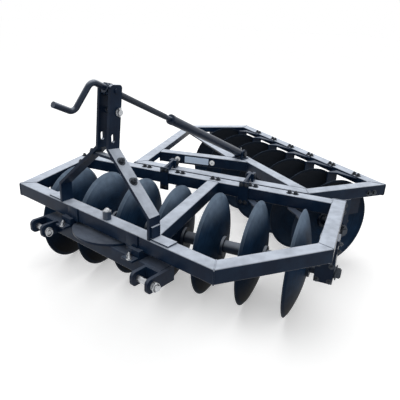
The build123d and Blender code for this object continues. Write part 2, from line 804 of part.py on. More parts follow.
# Board with a reflector at each side on the cross bar
board_loc = frame_at(x_front, x_dir, 0)
board = [board_loc * box(board_start, board_start + board_len, -board_t, 0, board_high - board_h, board_high)]
for place in reflector_at:
    disc = Rot(90, 0, 0) * Cylinder(reflector_r, reflector_t)
    board.append(board_loc * Pos(place, -reflector_t / 2, reflector_z) * disc)
save("marker_board", board)

total = Compound(children=saved)
bb = total.bounding_box()
mx, my = -plan_centre_x, -plan_centre_y
hinge_at = add(add(LR, u, hinge_stations["left"]), n, hinge_n)
print("pieces", len(saved))
print("bounds", [round(v, 1) for v in (bb.min.X, bb.max.X, bb.min.Y, bb.max.Y, bb.min.Z, bb.max.Z)])
for label, place, height, way in (
    ("front gang", front_gang_mid, axle_z, u),
    ("rear gang", rear_gang_mid, axle_z, w),
    ("hinge axis", hinge_at, hinge_z, u),
    ("screw top", (sx, sy), sz, (axis_dir.X, axis_dir.Y, axis_dir.Z)),
    ("screw end", (ex, ey), ez, (run, bracket_low)),
):
    here = [round(place[0] + mx, 2), round(place[1] + my, 2), round(height, 2)]
    print(label, here, [round(c, 6) for c in way])
print("volume m3", round(sum(s.volume for s in saved) / 1e9, 4))
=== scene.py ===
import json
import math

import bmesh
import bpy
from mathutils import Matrix, Vector


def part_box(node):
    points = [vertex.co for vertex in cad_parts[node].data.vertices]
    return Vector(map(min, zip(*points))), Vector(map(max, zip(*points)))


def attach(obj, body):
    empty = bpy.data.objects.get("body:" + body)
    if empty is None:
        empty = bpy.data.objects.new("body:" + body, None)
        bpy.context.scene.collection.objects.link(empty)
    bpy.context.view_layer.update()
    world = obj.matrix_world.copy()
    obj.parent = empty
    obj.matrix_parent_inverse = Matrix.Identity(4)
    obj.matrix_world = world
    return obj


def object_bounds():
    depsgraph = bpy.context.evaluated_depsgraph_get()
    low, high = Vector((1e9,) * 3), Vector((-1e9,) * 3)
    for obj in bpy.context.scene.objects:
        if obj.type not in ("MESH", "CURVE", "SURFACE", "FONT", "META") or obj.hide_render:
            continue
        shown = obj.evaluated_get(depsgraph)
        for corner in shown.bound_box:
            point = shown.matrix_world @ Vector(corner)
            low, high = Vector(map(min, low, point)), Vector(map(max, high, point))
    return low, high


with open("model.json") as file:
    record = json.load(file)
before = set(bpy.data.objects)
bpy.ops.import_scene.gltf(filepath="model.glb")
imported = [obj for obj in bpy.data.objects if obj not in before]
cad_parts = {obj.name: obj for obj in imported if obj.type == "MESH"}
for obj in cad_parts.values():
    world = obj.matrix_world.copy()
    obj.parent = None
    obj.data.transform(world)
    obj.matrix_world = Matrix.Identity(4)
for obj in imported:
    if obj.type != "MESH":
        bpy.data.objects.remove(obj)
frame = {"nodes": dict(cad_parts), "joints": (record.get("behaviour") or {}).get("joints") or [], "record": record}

bl_info = {
    "name": "Offset disc harrow dressing",
    "version": (1, 0, 0),
    "blender": (4, 5, 0),
    "location": "3D View > Sidebar > Harrow",
    "description": "Dresses an offset disc harrow with its finishes, welds, bolts and fittings",
    "category": "Object",
}

CAD_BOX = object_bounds()
JOINTS = {joint["name"]: joint for joint in frame["joints"]}
UP = Vector((0.0, 0.0, 1.0))
ACROSS = Vector((1.0, 0.0, 0.0))


def joint_line(name):
    """point on a joint's axis and the axis's direction"""
    joint = JOINTS[name]
    return Vector(joint["pos_m"]), Vector(joint["axis"]).normalized()


def left_of(direction):
    """level direction that points to the left of another"""
    return Vector((-direction.y, direction.x, 0.0))


FRONT_GANG, FRONT_WAY = joint_line("front_gang_spin")
REAR_GANG, REAR_WAY = joint_line("rear_gang_spin")
HINGE, HINGE_WAY = joint_line("rear_frame_pitch")
SCREW_TOP, SCREW_WAY = joint_line("levelling_screw_spin")
FRAME_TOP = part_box("front_gang_bar")[1].z
FRAME_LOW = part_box("front_gang_bar")[0].z
APEX = sum(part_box("apex_pin"), Vector()) / 2
FRONT_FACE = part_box("front_bar")[0].y
MIDDLE = SCREW_TOP.x

# Line along the outer face of the rear right bar, and along the front face of the rear cross bar
RIGHT_BAR_FACE = Vector((0.5794, 0.0112, 0.0))
RIGHT_BAR_WAY = Vector((0.4902, 0.8716, 0.0))
CROSS_BAR_FACE = Vector((-0.54072, 0.01633, 0.0))
CROSS_BAR_WAY = Vector((0.92094, 0.38970, 0.0)).normalized()

# Shares of a bolt's width across its flats
WASHER_RADIUS = 0.92
WASHER_HEIGHT = 0.1
HEAD_HEIGHT = 0.62
THREAD_RADIUS = 0.31

# Camera solved from the photograph: place in metres, angles in radians, the rest in pixels of the picture
PICTURE = 400.0
SQUEEZE = 0.674
CAMERA_PLACE = Vector((1.53035, -2.20167, 1.4193))
YAW, DIP, ROLL = -0.669, 0.376, 0.043
FOCAL = 448.8
OFF_CENTRE = Vector((4.65, -7.6))
SENSOR = 36.0
KEY_PLACE = Vector((-0.9, 1.0, 4.8))
SKY_STOPS = ((0.0, 0.30), (0.12, 0.36), (0.36, 0.50), (0.62, 0.62), (0.85, 0.66), (1.0, 0.68))
SKY_STRENGTH = 1.15


# Colours and properties


def linear(hex_colour):
    """sRGB hex text to the linear colour that the shaders take"""
    values = [int(hex_colour[i:i + 2], 16) / 255.0 for i in (1, 3, 5)]
    return tuple(v / 12.92 if v <= 0.04045 else ((v + 0.055) / 1.055) ** 2.4 for v in values) + (1.0,)


def colour(name, note, hex_colour):
    return bpy.props.FloatVectorProperty(
        name=name, description=note, subtype="COLOR", size=4, min=0.0, max=1.0, default=linear(hex_colour)
    )


def length(name, note, metres):
    return bpy.props.FloatProperty(
        name=name, description=note, default=metres, min=0.0, unit="LENGTH", precision=4
    )


class HARROW_PG_colours(bpy.types.PropertyGroup):
    enamel: colour("Enamel", "Blue-black enamel of the frame tubes", "#13233a")
    enamel_light: colour("Enamel, thin", "Enamel where the coat is thinner", "#20364f")
    # painted sheen: a pale colour laid on faces that look up, standing for sky and sunlight on the glossy paint
    sheen: colour("Dust", "Fine pale dust that lies on faces that look up", "#dae3f1")
    disc: colour("Disc enamel", "Blue-grey enamel of the blades", "#14263b")
    disc_light: colour("Disc enamel, thin", "Thin coat on the rolled rings of a blade", "#2a4768")
    # painted sheen on the upper part of a blade, standing for sky light on its top
    disc_sheen: colour("Disc dust", "Blue-grey dust on the upper part of a blade", "#b2c9e2")
    # painted shade: a dark colour laid on the lower, down-looking part of a blade
    disc_shade: colour("Disc underside", "Soil-dark film on the lower part of a blade", "#0b0d10")
    # also a painted highlight: the blades' rims are drawn a tenth of the way toward this bare steel, standing for
    # light caught on the rim
    steel: colour("Ground steel", "Bare steel of a blade's ground rim", "#7d8792")
    zinc: colour("Zinc", "Bright zinc plating of the pins", "#c3c6ca")
    black_steel: colour("Blackened steel", "Oil-blackened bolts and nuts", "#2c3036")
    cast: colour("Cast iron", "Painted cast iron of spools and bearing sleeves", "#18232f")
    board: colour("Board", "Pale glossy film on the board", "#cfe2fa")
    reflector: colour("Reflector", "Clear reflector seen as white", "#eef1f4")
    rubber: colour("Rim", "Black rubber of the reflectors' rims", "#16181c")
    floor: colour("Floor", "Pale studio floor", "#f4f4f4")


class HARROW_PG_sizes(bpy.types.PropertyGroup):
    scraper_bolt: length("Scraper bolt", "Across the flats of the bolts that hold the scrapers", 0.019)
    scraper_pair: length("Scraper bolt pitch", "Distance between the two bolts of a scraper", 0.034)
    mast_bolt: length("Mast bolt", "Across the flats of the bolts through the mast's legs", 0.022)
    hanger_bolt: length("Hanger bolt", "Across the flats of a hanger's own bolts", 0.019)
    bead: length("Weld bead", "Half width of a weld bead", 0.0035)
    foot_bead: length("Foot bead", "Half width of the weld beads round feet and lugs", 0.0018)
    bead_ripple: length("Weld ripple", "Distance from one ripple of a bead to the next", 0.006)
    thread_pitch: length("Thread pitch", "Pitch of the levelling screw", 0.006)
    ring_radius: length("Ring radius", "Middle radius of the linch pins' rings", 0.019)
    ring_wire: length("Ring wire", "Radius of the wire of the linch pins' rings", 0.0024)
    clamp_screw: length("Clamp screw", "Across the flats of the bolts of the hinge clamps", 0.014)
    nipple: length("Grease nipple", "Radius of a grease nipple's body", 0.0045)
    hinge_left: length("Left hinge", "From the middle of the hinge axis to the left hinge", 0.245)
    hinge_right: length("Right hinge", "From the middle of the hinge axis to the right hinge", 0.259)
    mast_foot: length("Mast foot", "From the mast's middle to the outside of a foot", 0.310)
    blade_slope: length("Blade slope", "Radius where a blade's slope to its edge begins", 0.2625)
    blade_edge: length("Blade edge", "Radius where a blade's ground edge begins", 0.2755)


def colours():
    return bpy.context.scene.harrow_colours


def sizes():
    return bpy.context.scene.harrow_sizes


# Materials

FINISHES = {}


def add_node(tree, kind, values=None, links=None, **settings):
    """adds one node, sets its inputs by name or number, and links its inputs to other sockets"""
    made = tree.nodes.new(kind)
    for key, value in settings.items():
        setattr(made, key, value)
    for key, value in (values or {}).items():
        made.inputs[key].default_value = value
    for key, socket in (links or {}).items():
        tree.links.new(socket, made.inputs[key])
    return made


def start_material(name):
    """an empty material with its tree, its shader and the sockets of its coordinates"""
    made = bpy.data.materials.new(name)
    made.use_nodes = True
    tree = made.node_tree
    tree.nodes.clear()
    shader = add_node(tree, "ShaderNodeBsdfPrincipled")
    add_node(tree, "ShaderNodeOutputMaterial", links={"Surface": shader.outputs["BSDF"]})
    place = add_node(tree, "ShaderNodeTexCoord").outputs
    return made, tree, shader, place


def mixed(tree, share, first, second):
    """colour between two, each a socket or a colour"""
    node = add_node(tree, "ShaderNodeMix", data_type="RGBA")
    for index, item in ((0, share), (6, first), (7, second)):
        if isinstance(item, bpy.types.NodeSocket):
            tree.links.new(item, node.inputs[index])
        else:
            node.inputs[index].default_value = item
    return node.outputs[2]


def tinted(base, factor):
    """colour made paler or darker by a factor"""
    return tuple(min(1.0, v * factor) for v in base[:3]) + (1.0,)


def finish_shader(tree, shader, body, rough, relief):
    """gives a shader its colour, its roughness, fixed or spread by a pattern, and a pattern's relief"""
    tree.links.new(body, shader.inputs["Base Color"])
    if isinstance(rough, tuple):
        pattern, low, high = rough
        spread = add_node(
            tree, "ShaderNodeMapRange", values={"To Min": low, "To Max": high}, links={"Value": pattern},
        )
        tree.links.new(spread.outputs["Result"], shader.inputs["Roughness"])
    else:
        shader.inputs["Roughness"].default_value = rough
    pattern, strength, depth = relief
    bump = add_node(
        tree, "ShaderNodeBump", values={"Strength": strength, "Distance": depth}, links={"Height": pattern},
    )
    tree.links.new(bump.outputs["Normal"], shader.inputs["Normal"])


def facing_up_share(tree, place, most, low=0.20, high=0.85):
    """share of a face by how far it looks up, broken up in patches of about 60 mm; it sets the painted sheen on
    tops and the painted shade under blades
    """
    parts = add_node(tree, "ShaderNodeSeparateXYZ", links={"Vector": place["Normal"]})
    rise = add_node(
        tree, "ShaderNodeMapRange", interpolation_type="SMOOTHSTEP",
        values={"From Min": low, "From Max": high, "To Min": 0.0, "To Max": most},
        links={"Value": parts.outputs["Z"]},
    )
    patch = add_node(
        tree, "ShaderNodeTexNoise", values={"Scale": 16.0, "Detail": 5.0, "Roughness": 0.6},
        links={"Vector": place["Object"]},
    )
    spread = add_node(
        tree, "ShaderNodeMapRange",
        values={"From Min": 0.32, "From Max": 0.62, "To Min": 0.72, "To Max": 1.0},
        links={"Value": patch.outputs["Fac"]},
    )
    share = add_node(
        tree, "ShaderNodeMath", operation="MULTIPLY",
        links={0: rise.outputs["Result"], 1: spread.outputs["Result"]},
    )
    return share.outputs["Value"]


def sprayed_enamel(name, most_sheen, gloss):
    """Alkyd enamel sprayed on steel: a deep blue-black gloss with a slight orange peel, and tops drawn paler as a
    painted sheen
    """
    c = colours()
    made, tree, shader, place = start_material(name)
    # cloudy coat: patches of about 80 mm where the spray lies thinner
    cloud = add_node(
        tree, "ShaderNodeTexNoise", values={"Scale": 12.0, "Detail": 4.0, "Roughness": 0.55},
        links={"Vector": place["Object"]},
    )
    share = add_node(
        tree, "ShaderNodeMapRange", values={"From Min": 0.4, "From Max": 0.75, "To Max": 0.8},
        links={"Value": cloud.outputs["Fac"]},
    )
    coat = mixed(tree, share.outputs["Result"], c.enamel, c.enamel_light)
    # painted sheen: faces that look up are drawn paler, standing for sky and sunlight on the glossy paint
    sheen = facing_up_share(tree, place, most_sheen)
    body = mixed(tree, sheen, coat, c.sheen)
    shader.inputs["IOR"].default_value = 1.5
    shader.inputs["Specular IOR Level"].default_value = gloss
    # orange peel is 1 to 2 mm on a real coat; drawn at 5 mm so that it shows
    peel = add_node(
        tree, "ShaderNodeTexNoise", values={"Scale": 200.0, "Detail": 2.0, "Roughness": 0.5},
        links={"Vector": place["Object"]},
    )
    # where the painted sheen is full the roughness rises to 0.61
    finish_shader(tree, shader, body, (sheen, 0.3, 0.6125), (peel.outputs["Fac"], 0.12, 0.001))
    return made


def axle_radius(tree, place, centre, way):
    """distance from a gang's axle, for patterns that run round a blade"""
    turn = add_node(
        tree, "ShaderNodeMapping", vector_type="TEXTURE",
        values={"Location": centre, "Rotation": (0.0, 0.0, math.atan2(way.y, way.x))},
        links={"Vector": place["Object"]},
    )
    flat = add_node(
        tree, "ShaderNodeVectorMath", operation="MULTIPLY",
        values={1: (0.0, 1.0, 1.0)}, links={0: turn.outputs["Vector"]},
    )
    size = add_node(tree, "ShaderNodeVectorMath", operation="LENGTH", links={0: flat.outputs["Vector"]})
    return size.outputs["Value"]


def rolled_blade_enamel(name, centre, way, most_sheen, shade_lift):
    """Enamel on a rolled boron steel blade: satin blue-grey with faint rolled rings, a painted sheen on its upper
    part, painted shade on its lower part, and a painted highlight along its rim drawn as bare steel
    """
    c = colours()
    s = sizes()
    made, tree, shader, place = start_material(name)
    radius = axle_radius(tree, place, centre, way)
    # rolling marks stand about 4 mm apart round the blade
    rings = add_node(
        tree, "ShaderNodeTexNoise", noise_dimensions="1D",
        values={"Scale": 260.0, "Detail": 3.0, "Roughness": 0.6}, links={"W": radius},
    )
    # the coat clouds over in patches of about 110 mm
    cloud = add_node(
        tree, "ShaderNodeTexNoise", values={"Scale": 9.0, "Detail": 5.0, "Roughness": 0.6},
        links={"Vector": place["Object"]},
    )
    blend = add_node(
        tree, "ShaderNodeMath", operation="MULTIPLY",
        links={0: rings.outputs["Fac"], 1: cloud.outputs["Fac"]},
    )
    share = add_node(
        tree, "ShaderNodeMapRange", values={"From Min": 0.12, "From Max": 0.42, "To Max": 0.9},
        links={"Value": blend.outputs["Value"]},
    )
    coat = mixed(tree, share.outputs["Result"], c.disc, c.disc_light)
    # painted shade: faces that look down are drawn darker, toward a dark colour
    film = facing_up_share(tree, place, 1.0, -0.3, 0.12)
    coat = mixed(tree, film, tinted(c.disc_shade, shade_lift), coat)
    # painted sheen: the upper part of a blade is drawn paler, standing for sky light on it
    sheened = mixed(tree, facing_up_share(tree, place, most_sheen, 0.19, 0.54), coat, c.disc_sheen)
    # the radii where the slope and the rim begin wander by 4 mm
    wander = add_node(
        tree, "ShaderNodeMath", operation="MULTIPLY_ADD",
        values={1: 0.004}, links={0: cloud.outputs["Fac"], 2: radius},
    )
    ends = []
    for start, most in ((s.blade_slope, 0.5), (s.blade_edge, 0.1)):
        share = add_node(
            tree, "ShaderNodeMapRange", values={"From Min": start, "From Max": start + 0.002, "To Max": most},
            links={"Value": wander.outputs["Value"]},
        )
        ends.append(share.outputs["Result"])
    slope, edge = ends
    # the slope carries half of the painted sheen, and the rim is drawn a tenth of the way toward bare steel and a
    # little metallic: a painted highlight along it
    body = mixed(tree, edge, mixed(tree, slope, sheened, c.disc), c.steel)
    tree.links.new(edge, shader.inputs["Metallic"])
    shader.inputs["Specular IOR Level"].default_value = 0.03
    marks = rings.outputs["Fac"]
    finish_shader(tree, shader, body, (marks, 0.45, 0.6), (marks, 0.08, 0.001))
    return made


def painted_cast_iron():
    """Enamel on sand-cast iron: dull blue-black over a pebbled skin"""
    c = colours()
    made, tree, shader, place = start_material("painted_cast_iron")
    # sand grain of a casting is under 1 mm; drawn at 4 mm so that it shows
    grain = add_node(
        tree, "ShaderNodeTexNoise", values={"Scale": 250.0, "Detail": 4.0, "Roughness": 0.65},
        links={"Vector": place["Object"]},
    )
    # the paint is thinner in patches of about 50 mm
    cloud = add_node(
        tree, "ShaderNodeTexNoise", values={"Scale": 20.0, "Detail": 3.0},
        links={"Vector": place["Object"]},
    )
    body = mixed(tree, cloud.outputs["Fac"], c.cast, c.enamel)
    # painted sheen: faces that look up are drawn paler
    sheened = mixed(tree, facing_up_share(tree, place, 0.4), body, c.sheen)
    shader.inputs["Specular IOR Level"].default_value = 0.15
    finish_shader(tree, shader, sheened, 0.48, (grain.outputs["Fac"], 0.45, 0.001))
    return made


def zinc_plated_steel():
    """Bright zinc on turned steel: silvery, a little cloudy, with fine turning lines"""
    c = colours()
    made, tree, shader, place = start_material("zinc_plated_steel")
    # the plating clouds over in patches of about 17 mm
    cloud = add_node(
        tree, "ShaderNodeTexNoise", values={"Scale": 60.0, "Detail": 4.0}, links={"Vector": place["Object"]},
    )
    body = mixed(tree, cloud.outputs["Fac"], c.zinc, tinted(c.zinc, 0.7))
    shader.inputs["Metallic"].default_value = 1.0
    # turning lines are 0.2 mm apart; drawn at 4 mm so that they show
    lines = add_node(
        tree, "ShaderNodeTexWave", wave_type="BANDS", bands_direction="X",
        values={"Scale": 80.0, "Distortion": 0.4}, links={"Vector": place["Object"]},
    )
    relief = (lines.outputs["Fac"], 0.05, 0.0005)
    finish_shader(tree, shader, body, (cloud.outputs["Fac"], 0.22, 0.42), relief)
    return made


def turned_post_with_bare_cap():
    """Turned steel post, enamelled dark below, with a domed cap worn bright by the tractor's link"""
    c = colours()
    made, tree, shader, place = start_material("turned_post_with_bare_cap")
    parts = add_node(tree, "ShaderNodeSeparateXYZ", links={"Vector": place["Object"]})
    # scuff marks are about 6 mm long
    scuff = add_node(
        tree, "ShaderNodeTexNoise", values={"Scale": 180.0, "Detail": 4.0},
        links={"Vector": place["Object"]},
    )
    height = add_node(
        tree, "ShaderNodeMath", operation="MULTIPLY_ADD", values={1: 0.003},
        links={0: scuff.outputs["Fac"], 2: parts.outputs["Z"]},
    )
    # the paint ends in a ragged line 2 mm high under the dome, 40 mm above the bar
    paint_end = FRAME_TOP + 0.0405
    bare = add_node(
        tree, "ShaderNodeMapRange", values={"From Min": paint_end, "From Max": paint_end + 0.002},
        links={"Value": height.outputs["Value"]},
    )
    body = mixed(tree, bare.outputs["Result"], c.enamel_light, c.zinc)
    tree.links.new(bare.outputs["Result"], shader.inputs["Metallic"])
    marks = scuff.outputs["Fac"]
    finish_shader(tree, shader, body, (marks, 0.2, 0.4), (marks, 0.1, 0.0005))
    return made


def patterned(name, base, tint, pattern, rough, relief, metallic=0.0, glow=0.0):
    """material whose colour, roughness and relief follow one pattern on the piece"""
    made, tree, shader, place = start_material(name)
    kind, output, values = pattern
    grain = add_node(tree, kind, values=values, links={"Vector": place["Object"]}).outputs[output]
    body = mixed(tree, grain, base, tinted(base, tint))
    shader.inputs["Metallic"].default_value = metallic
    if glow > 0.0:
        shader.inputs["Emission Color"].default_value = base
        shader.inputs["Emission Strength"].default_value = glow
    spread = (grain,) + rough if isinstance(rough, tuple) else rough
    finish_shader(tree, shader, body, spread, (grain,) + relief)
    return made


def blackened_bolt_steel():
    """Oil-blackened steel: near black with a dull metal shine, greyer on its high spots"""
    # the blacking is blotched in spots of about 8 mm
    cloud = ("ShaderNodeTexNoise", "Fac", {"Scale": 120.0, "Detail": 4.0, "Roughness": 0.6})
    base = colours().black_steel
    return patterned("blackened_bolt_steel", base, 2.2, cloud, (0.32, 0.55), (0.15, 0.0005), metallic=0.85)


def glossy_film_on_board():
    """Pale silvered film on a steel plate: smooth, glossy, slightly waved where it is stuck down"""
    # the film rises and falls every 30 mm or so
    wave = ("ShaderNodeTexNoise", "Fac", {"Scale": 35.0, "Detail": 2.0})
    # the film sends light back to the viewer, which a small glow stands for
    return patterned("glossy_film_on_board", colours().board, 0.86, wave, 0.3, (0.1, 0.001), glow=0.17)


def prismatic_reflector():
    """Moulded acrylic reflector: pale, bright, with small prisms that break up its shine"""
    # prisms of a reflector are about 2 mm across
    cells = ("ShaderNodeTexVoronoi", "Distance", {"Scale": 420.0})
    # they send light back to the viewer, which a small glow stands for
    return patterned("prismatic_reflector", colours().reflector, 0.55, cells, 0.15, (0.4, 0.001), glow=0.3)


def moulded_rubber():
    """Moulded black rubber: matt, with a fine leathery grain"""
    # the grain of moulded rubber is under 1 mm; drawn at 3 mm so that it shows
    grain = ("ShaderNodeTexNoise", "Fac", {"Scale": 300.0, "Detail": 3.0})
    return patterned("moulded_rubber", colours().rubber, 1.9, grain, 0.6, (0.3, 0.0006))


def make_finishes():
    """makes each finish once, for the pieces to share"""
    # what carries the enamel, its most painted sheen on faces that look up and its gloss
    for key, carrier, most_sheen, gloss in (
        ("frame", "steel_tube", 0.8, 0.1),
        ("tube", "round_tube", 0.1, 0.2),
        ("rod", "bent_rod", 0.4, 0.3),
        ("bracket", "brackets", 0.1, 0.1),
        ("plate", "hitch_plate", 0.17, 0.1),
    ):
        FINISHES[key] = sprayed_enamel("sprayed_enamel_on_" + carrier, most_sheen, gloss)
    # the front blades carry much painted sheen on top and the rear ones little; the painted shade on the rear
    # blades' lower parts is drawn paler
    for key, centre, way, most_sheen, shade_lift in (
        ("front", FRONT_GANG, FRONT_WAY, 0.85, 1.4),
        ("rear", REAR_GANG, REAR_WAY, 0.2, 9.0),
    ):
        name = "rolled_blade_enamel_" + key
        FINISHES[key + "_disc"] = rolled_blade_enamel(name, centre, way, most_sheen, shade_lift)
    FINISHES["post"] = turned_post_with_bare_cap()
    FINISHES["cast"] = painted_cast_iron()
    FINISHES["zinc"] = zinc_plated_steel()
    FINISHES["bolt"] = blackened_bolt_steel()
    FINISHES["board"] = glossy_film_on_board()
    FINISHES["reflector"] = prismatic_reflector()
    FINISHES["rubber"] = moulded_rubber()


# Mesh tools


def facing(place, way):
    """matrix that takes a shape's z to a direction and its origin to a place"""
    return Matrix.Translation(place) @ way.to_track_quat("Z", "Y").to_matrix().to_4x4()


def edges_of(verts):
    """edges that end at some vertices, each once and in the same order each time"""
    return list(dict.fromkeys(edge for vert in verts for edge in vert.link_edges))


def bevel(bm, edges, width):
    """breaks edges with a small round"""
    bmesh.ops.bevel(
        bm, geom=edges, offset=width, segments=2, profile=0.5, affect="EDGES", material=-1,
        offset_type="OFFSET",
    )


def add_round(bm, place, way, radius, height, sides=24, chamfer=0.0, top_radius=None):
    """short round solid on a face; it may taper, and its outer end may be chamfered"""
    top = radius if top_radius is None else top_radius
    made = bmesh.ops.create_cone(
        bm, cap_ends=True, cap_tris=False, segments=sides, radius1=radius, radius2=top, depth=height,
        matrix=facing(place + way * (height / 2), way),
    )
    if chamfer > 0.0:
        rim = [
            edge for edge in edges_of(made["verts"])
            if all((vert.co - place).dot(way) > height * 0.99 for vert in edge.verts)
        ]
        bevel(bm, rim, chamfer)


def add_bolt(bm, place, way, flats, tail=0.0):
    """washer and chamfered hexagon head standing on a face; a tail is the thread that shows past a nut"""
    washer = flats * WASHER_HEIGHT
    add_round(bm, place, way, flats * WASHER_RADIUS, washer, sides=28, chamfer=washer * 0.35)
    head = flats * HEAD_HEIGHT
    root = place + way * washer
    add_round(bm, root, way, flats / math.sqrt(3.0), head, sides=6, chamfer=flats * 0.07)
    if tail > 0.0:
        root = root + way * head
        add_round(bm, root, way, flats * THREAD_RADIUS, tail, sides=16, chamfer=flats * 0.05)


def add_plate(bm, low, high, edge):
    """flat plate square to the machine, with its edges broken"""
    shape = Matrix.Translation((low + high) / 2) @ Matrix.Diagonal((high - low).to_4d())
    made = bmesh.ops.create_cube(bm, size=1.0, matrix=shape)
    bevel(bm, edges_of(made["verts"]), edge)


def add_ring(bm, centre, normal, radius, wire, steps=36):
    """closed ring of round wire, made by turning one circle"""
    turned = facing(centre, normal)
    across = (turned.to_3x3() @ ACROSS).normalized()
    start = bmesh.ops.create_circle(
        bm, cap_ends=False, segments=10, radius=wire,
        matrix=facing(centre + across * radius, normal.cross(across)),
    )
    bmesh.ops.spin(
        bm, geom=start["verts"] + edges_of(start["verts"]), cent=centre, axis=normal, angle=math.tau,
        steps=steps, use_merge=True,
    )


def finish_piece(name, bm, body, finish):
    """turns a bmesh into a piece that rides on a body, with its faces outward"""
    bmesh.ops.remove_doubles(bm, verts=bm.verts, dist=1e-6)
    bmesh.ops.recalc_face_normals(bm, faces=bm.faces)
    mesh = bpy.data.meshes.new(name)
    bm.to_mesh(mesh)
    bm.free()
    piece = bpy.data.objects.new(name, mesh)
    bpy.context.scene.collection.objects.link(piece)
    mesh.materials.append(FINISHES[finish])
    mesh.shade_smooth()
    mesh.set_sharp_from_angle(angle=math.radians(32.0))
    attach(piece, body)


def bar_end_rings(node):
    """outline of each end of a frame bar, as points in order round it"""
    points = [v.co.copy() for v in frame["nodes"][node].data.vertices]
    middle = sum(points, Vector()) / len(points)
    far = max(points, key=lambda p: (p - middle).length)
    along = Vector((far.x - middle.x, far.y - middle.y, 0.0)).normalized()
    rings = []
    for sign in (-1, 1):
        ring = {tuple(round(c, 5) for c in p) for p in points if (p - middle).dot(along) * sign > 0}
        ring = [Vector(p) for p in ring]
        centre = sum(ring, Vector()) / len(ring)
        side = max(ring, key=lambda p: Vector((p.x - centre.x, p.y - centre.y)).length)
        flat = Vector((side.x - centre.x, side.y - centre.y, 0.0)).normalized()
        ring.sort(key=lambda p: math.atan2((p - centre).z, (p - centre).dot(flat)))
        rings.append((centre, ring))
    return rings


def add_bead(whole, points, radius, ripple, rise=1.18):
    """weld bead along a line, kept inside the part's box: its width swells and falls with each ripple"""
    bm = bmesh.new()
    low, high = CAD_BOX
    # shares of the radius: the first circle, and how far the bead widens after it
    first_share = 0.7
    first_swell = 1.3
    points = [
        Vector([min(max(c, a + radius), b - radius) for c, a, b in zip(p, low, high)]) for p in points
    ]
    line = [points[0]]
    for here, after in zip(points, points[1:]):
        count = max(1, round((after - here).length / (ripple / 2)))
        line += [here.lerp(after, k / count) for k in range(1, count + 1)]
    ways = []
    for k, here in enumerate(line):
        before = line[max(0, k - 1)]
        after = line[min(len(line) - 1, k + 1)]
        ways.append((after - before).normalized())
    start = bmesh.ops.create_circle(
        bm, cap_ends=False, segments=8, radius=radius * first_share, matrix=facing(line[0], ways[0]),
    )
    edges = edges_of(start["verts"])
    first = edges
    for k in range(1, len(line)):
        made = bmesh.ops.extrude_edge_only(bm, edges=edges)["geom"]
        verts = [g for g in made if isinstance(g, bmesh.types.BMVert)]
        lines = [g for g in made if isinstance(g, bmesh.types.BMEdge)]
        edges = [edge for edge in lines if all(v in verts for v in edge.verts)]
        turn = ways[k - 1].rotation_difference(ways[k]).to_matrix()
        bmesh.ops.rotate(bm, verts=verts, cent=line[k - 1], matrix=turn)
        bmesh.ops.translate(bm, verts=verts, vec=line[k] - line[k - 1])
        swell = rise if k % 2 else 1 / rise
        if k == 1:
            swell = first_swell
        space = Matrix.Translation(-line[k])
        bmesh.ops.scale(bm, verts=verts, vec=(swell, swell, swell), space=space)
    bmesh.ops.contextual_create(bm, geom=first)
    bmesh.ops.contextual_create(bm, geom=edges)
    spare = bpy.data.meshes.new("bead")
    bm.to_mesh(spare)
    bm.free()
    whole.from_mesh(spare)
    bpy.data.meshes.remove(spare)


def foot_line(middle, way, half_long, half_wide):
    """closed line round a foot that stands on a frame bar"""
    line = []
    for a, b in ((-1, -1), (1, -1), (1, 1), (-1, 1), (-1, -1)):
        place = middle + way * (half_long * a) + left_of(way) * (half_wide * b)
        line.append(Vector((place.x, place.y, FRAME_TOP)))
    return line


# Pieces


class HARROW_OT_finishes(bpy.types.Operator):
    """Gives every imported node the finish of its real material"""

    bl_idname = "harrow.finishes"
    bl_label = "Finishes of the frame"

    def execute(self, context):
        make_finishes()
        by_slot = {
            "frame_paint": "frame", "zinc_steel": "zinc", "axle_steel": "bolt", "cast_spool": "cast",
            "board_face": "board", "disc_paint": "front_disc",
        }
        by_finish = {
            "rear_disc": ("rear_discs",), "post": ("bar_post",), "tube": ("levelling_tube",),
            "rod": ("levelling_screw",), "bolt": ("apex_pin", "hinge_pins"),
            "bracket": (
                "screw_trunnion", "apex_lugs", "hinge_brackets", "hinge_lugs", "front_scrapers",
                "rear_scrapers", "hitch_beam", "hitch_forks", "hitch_clamps",
            ),
        }
        by_node = {node: finish for finish, nodes in by_finish.items() for node in nodes}
        for part in frame["record"]["subparts"]:
            node = frame["nodes"][part["node"]]
            finish = by_node.get(part["node"], by_slot[part["material_slot"]])
            node.data.materials.clear()
            node.data.materials.append(FINISHES[finish])
        return {"FINISHED"}


def hinge_places():
    """middle of each hinge on the hinge axis"""
    s = sizes()
    return [HINGE - HINGE_WAY * s.hinge_left, HINGE + HINGE_WAY * s.hinge_right]


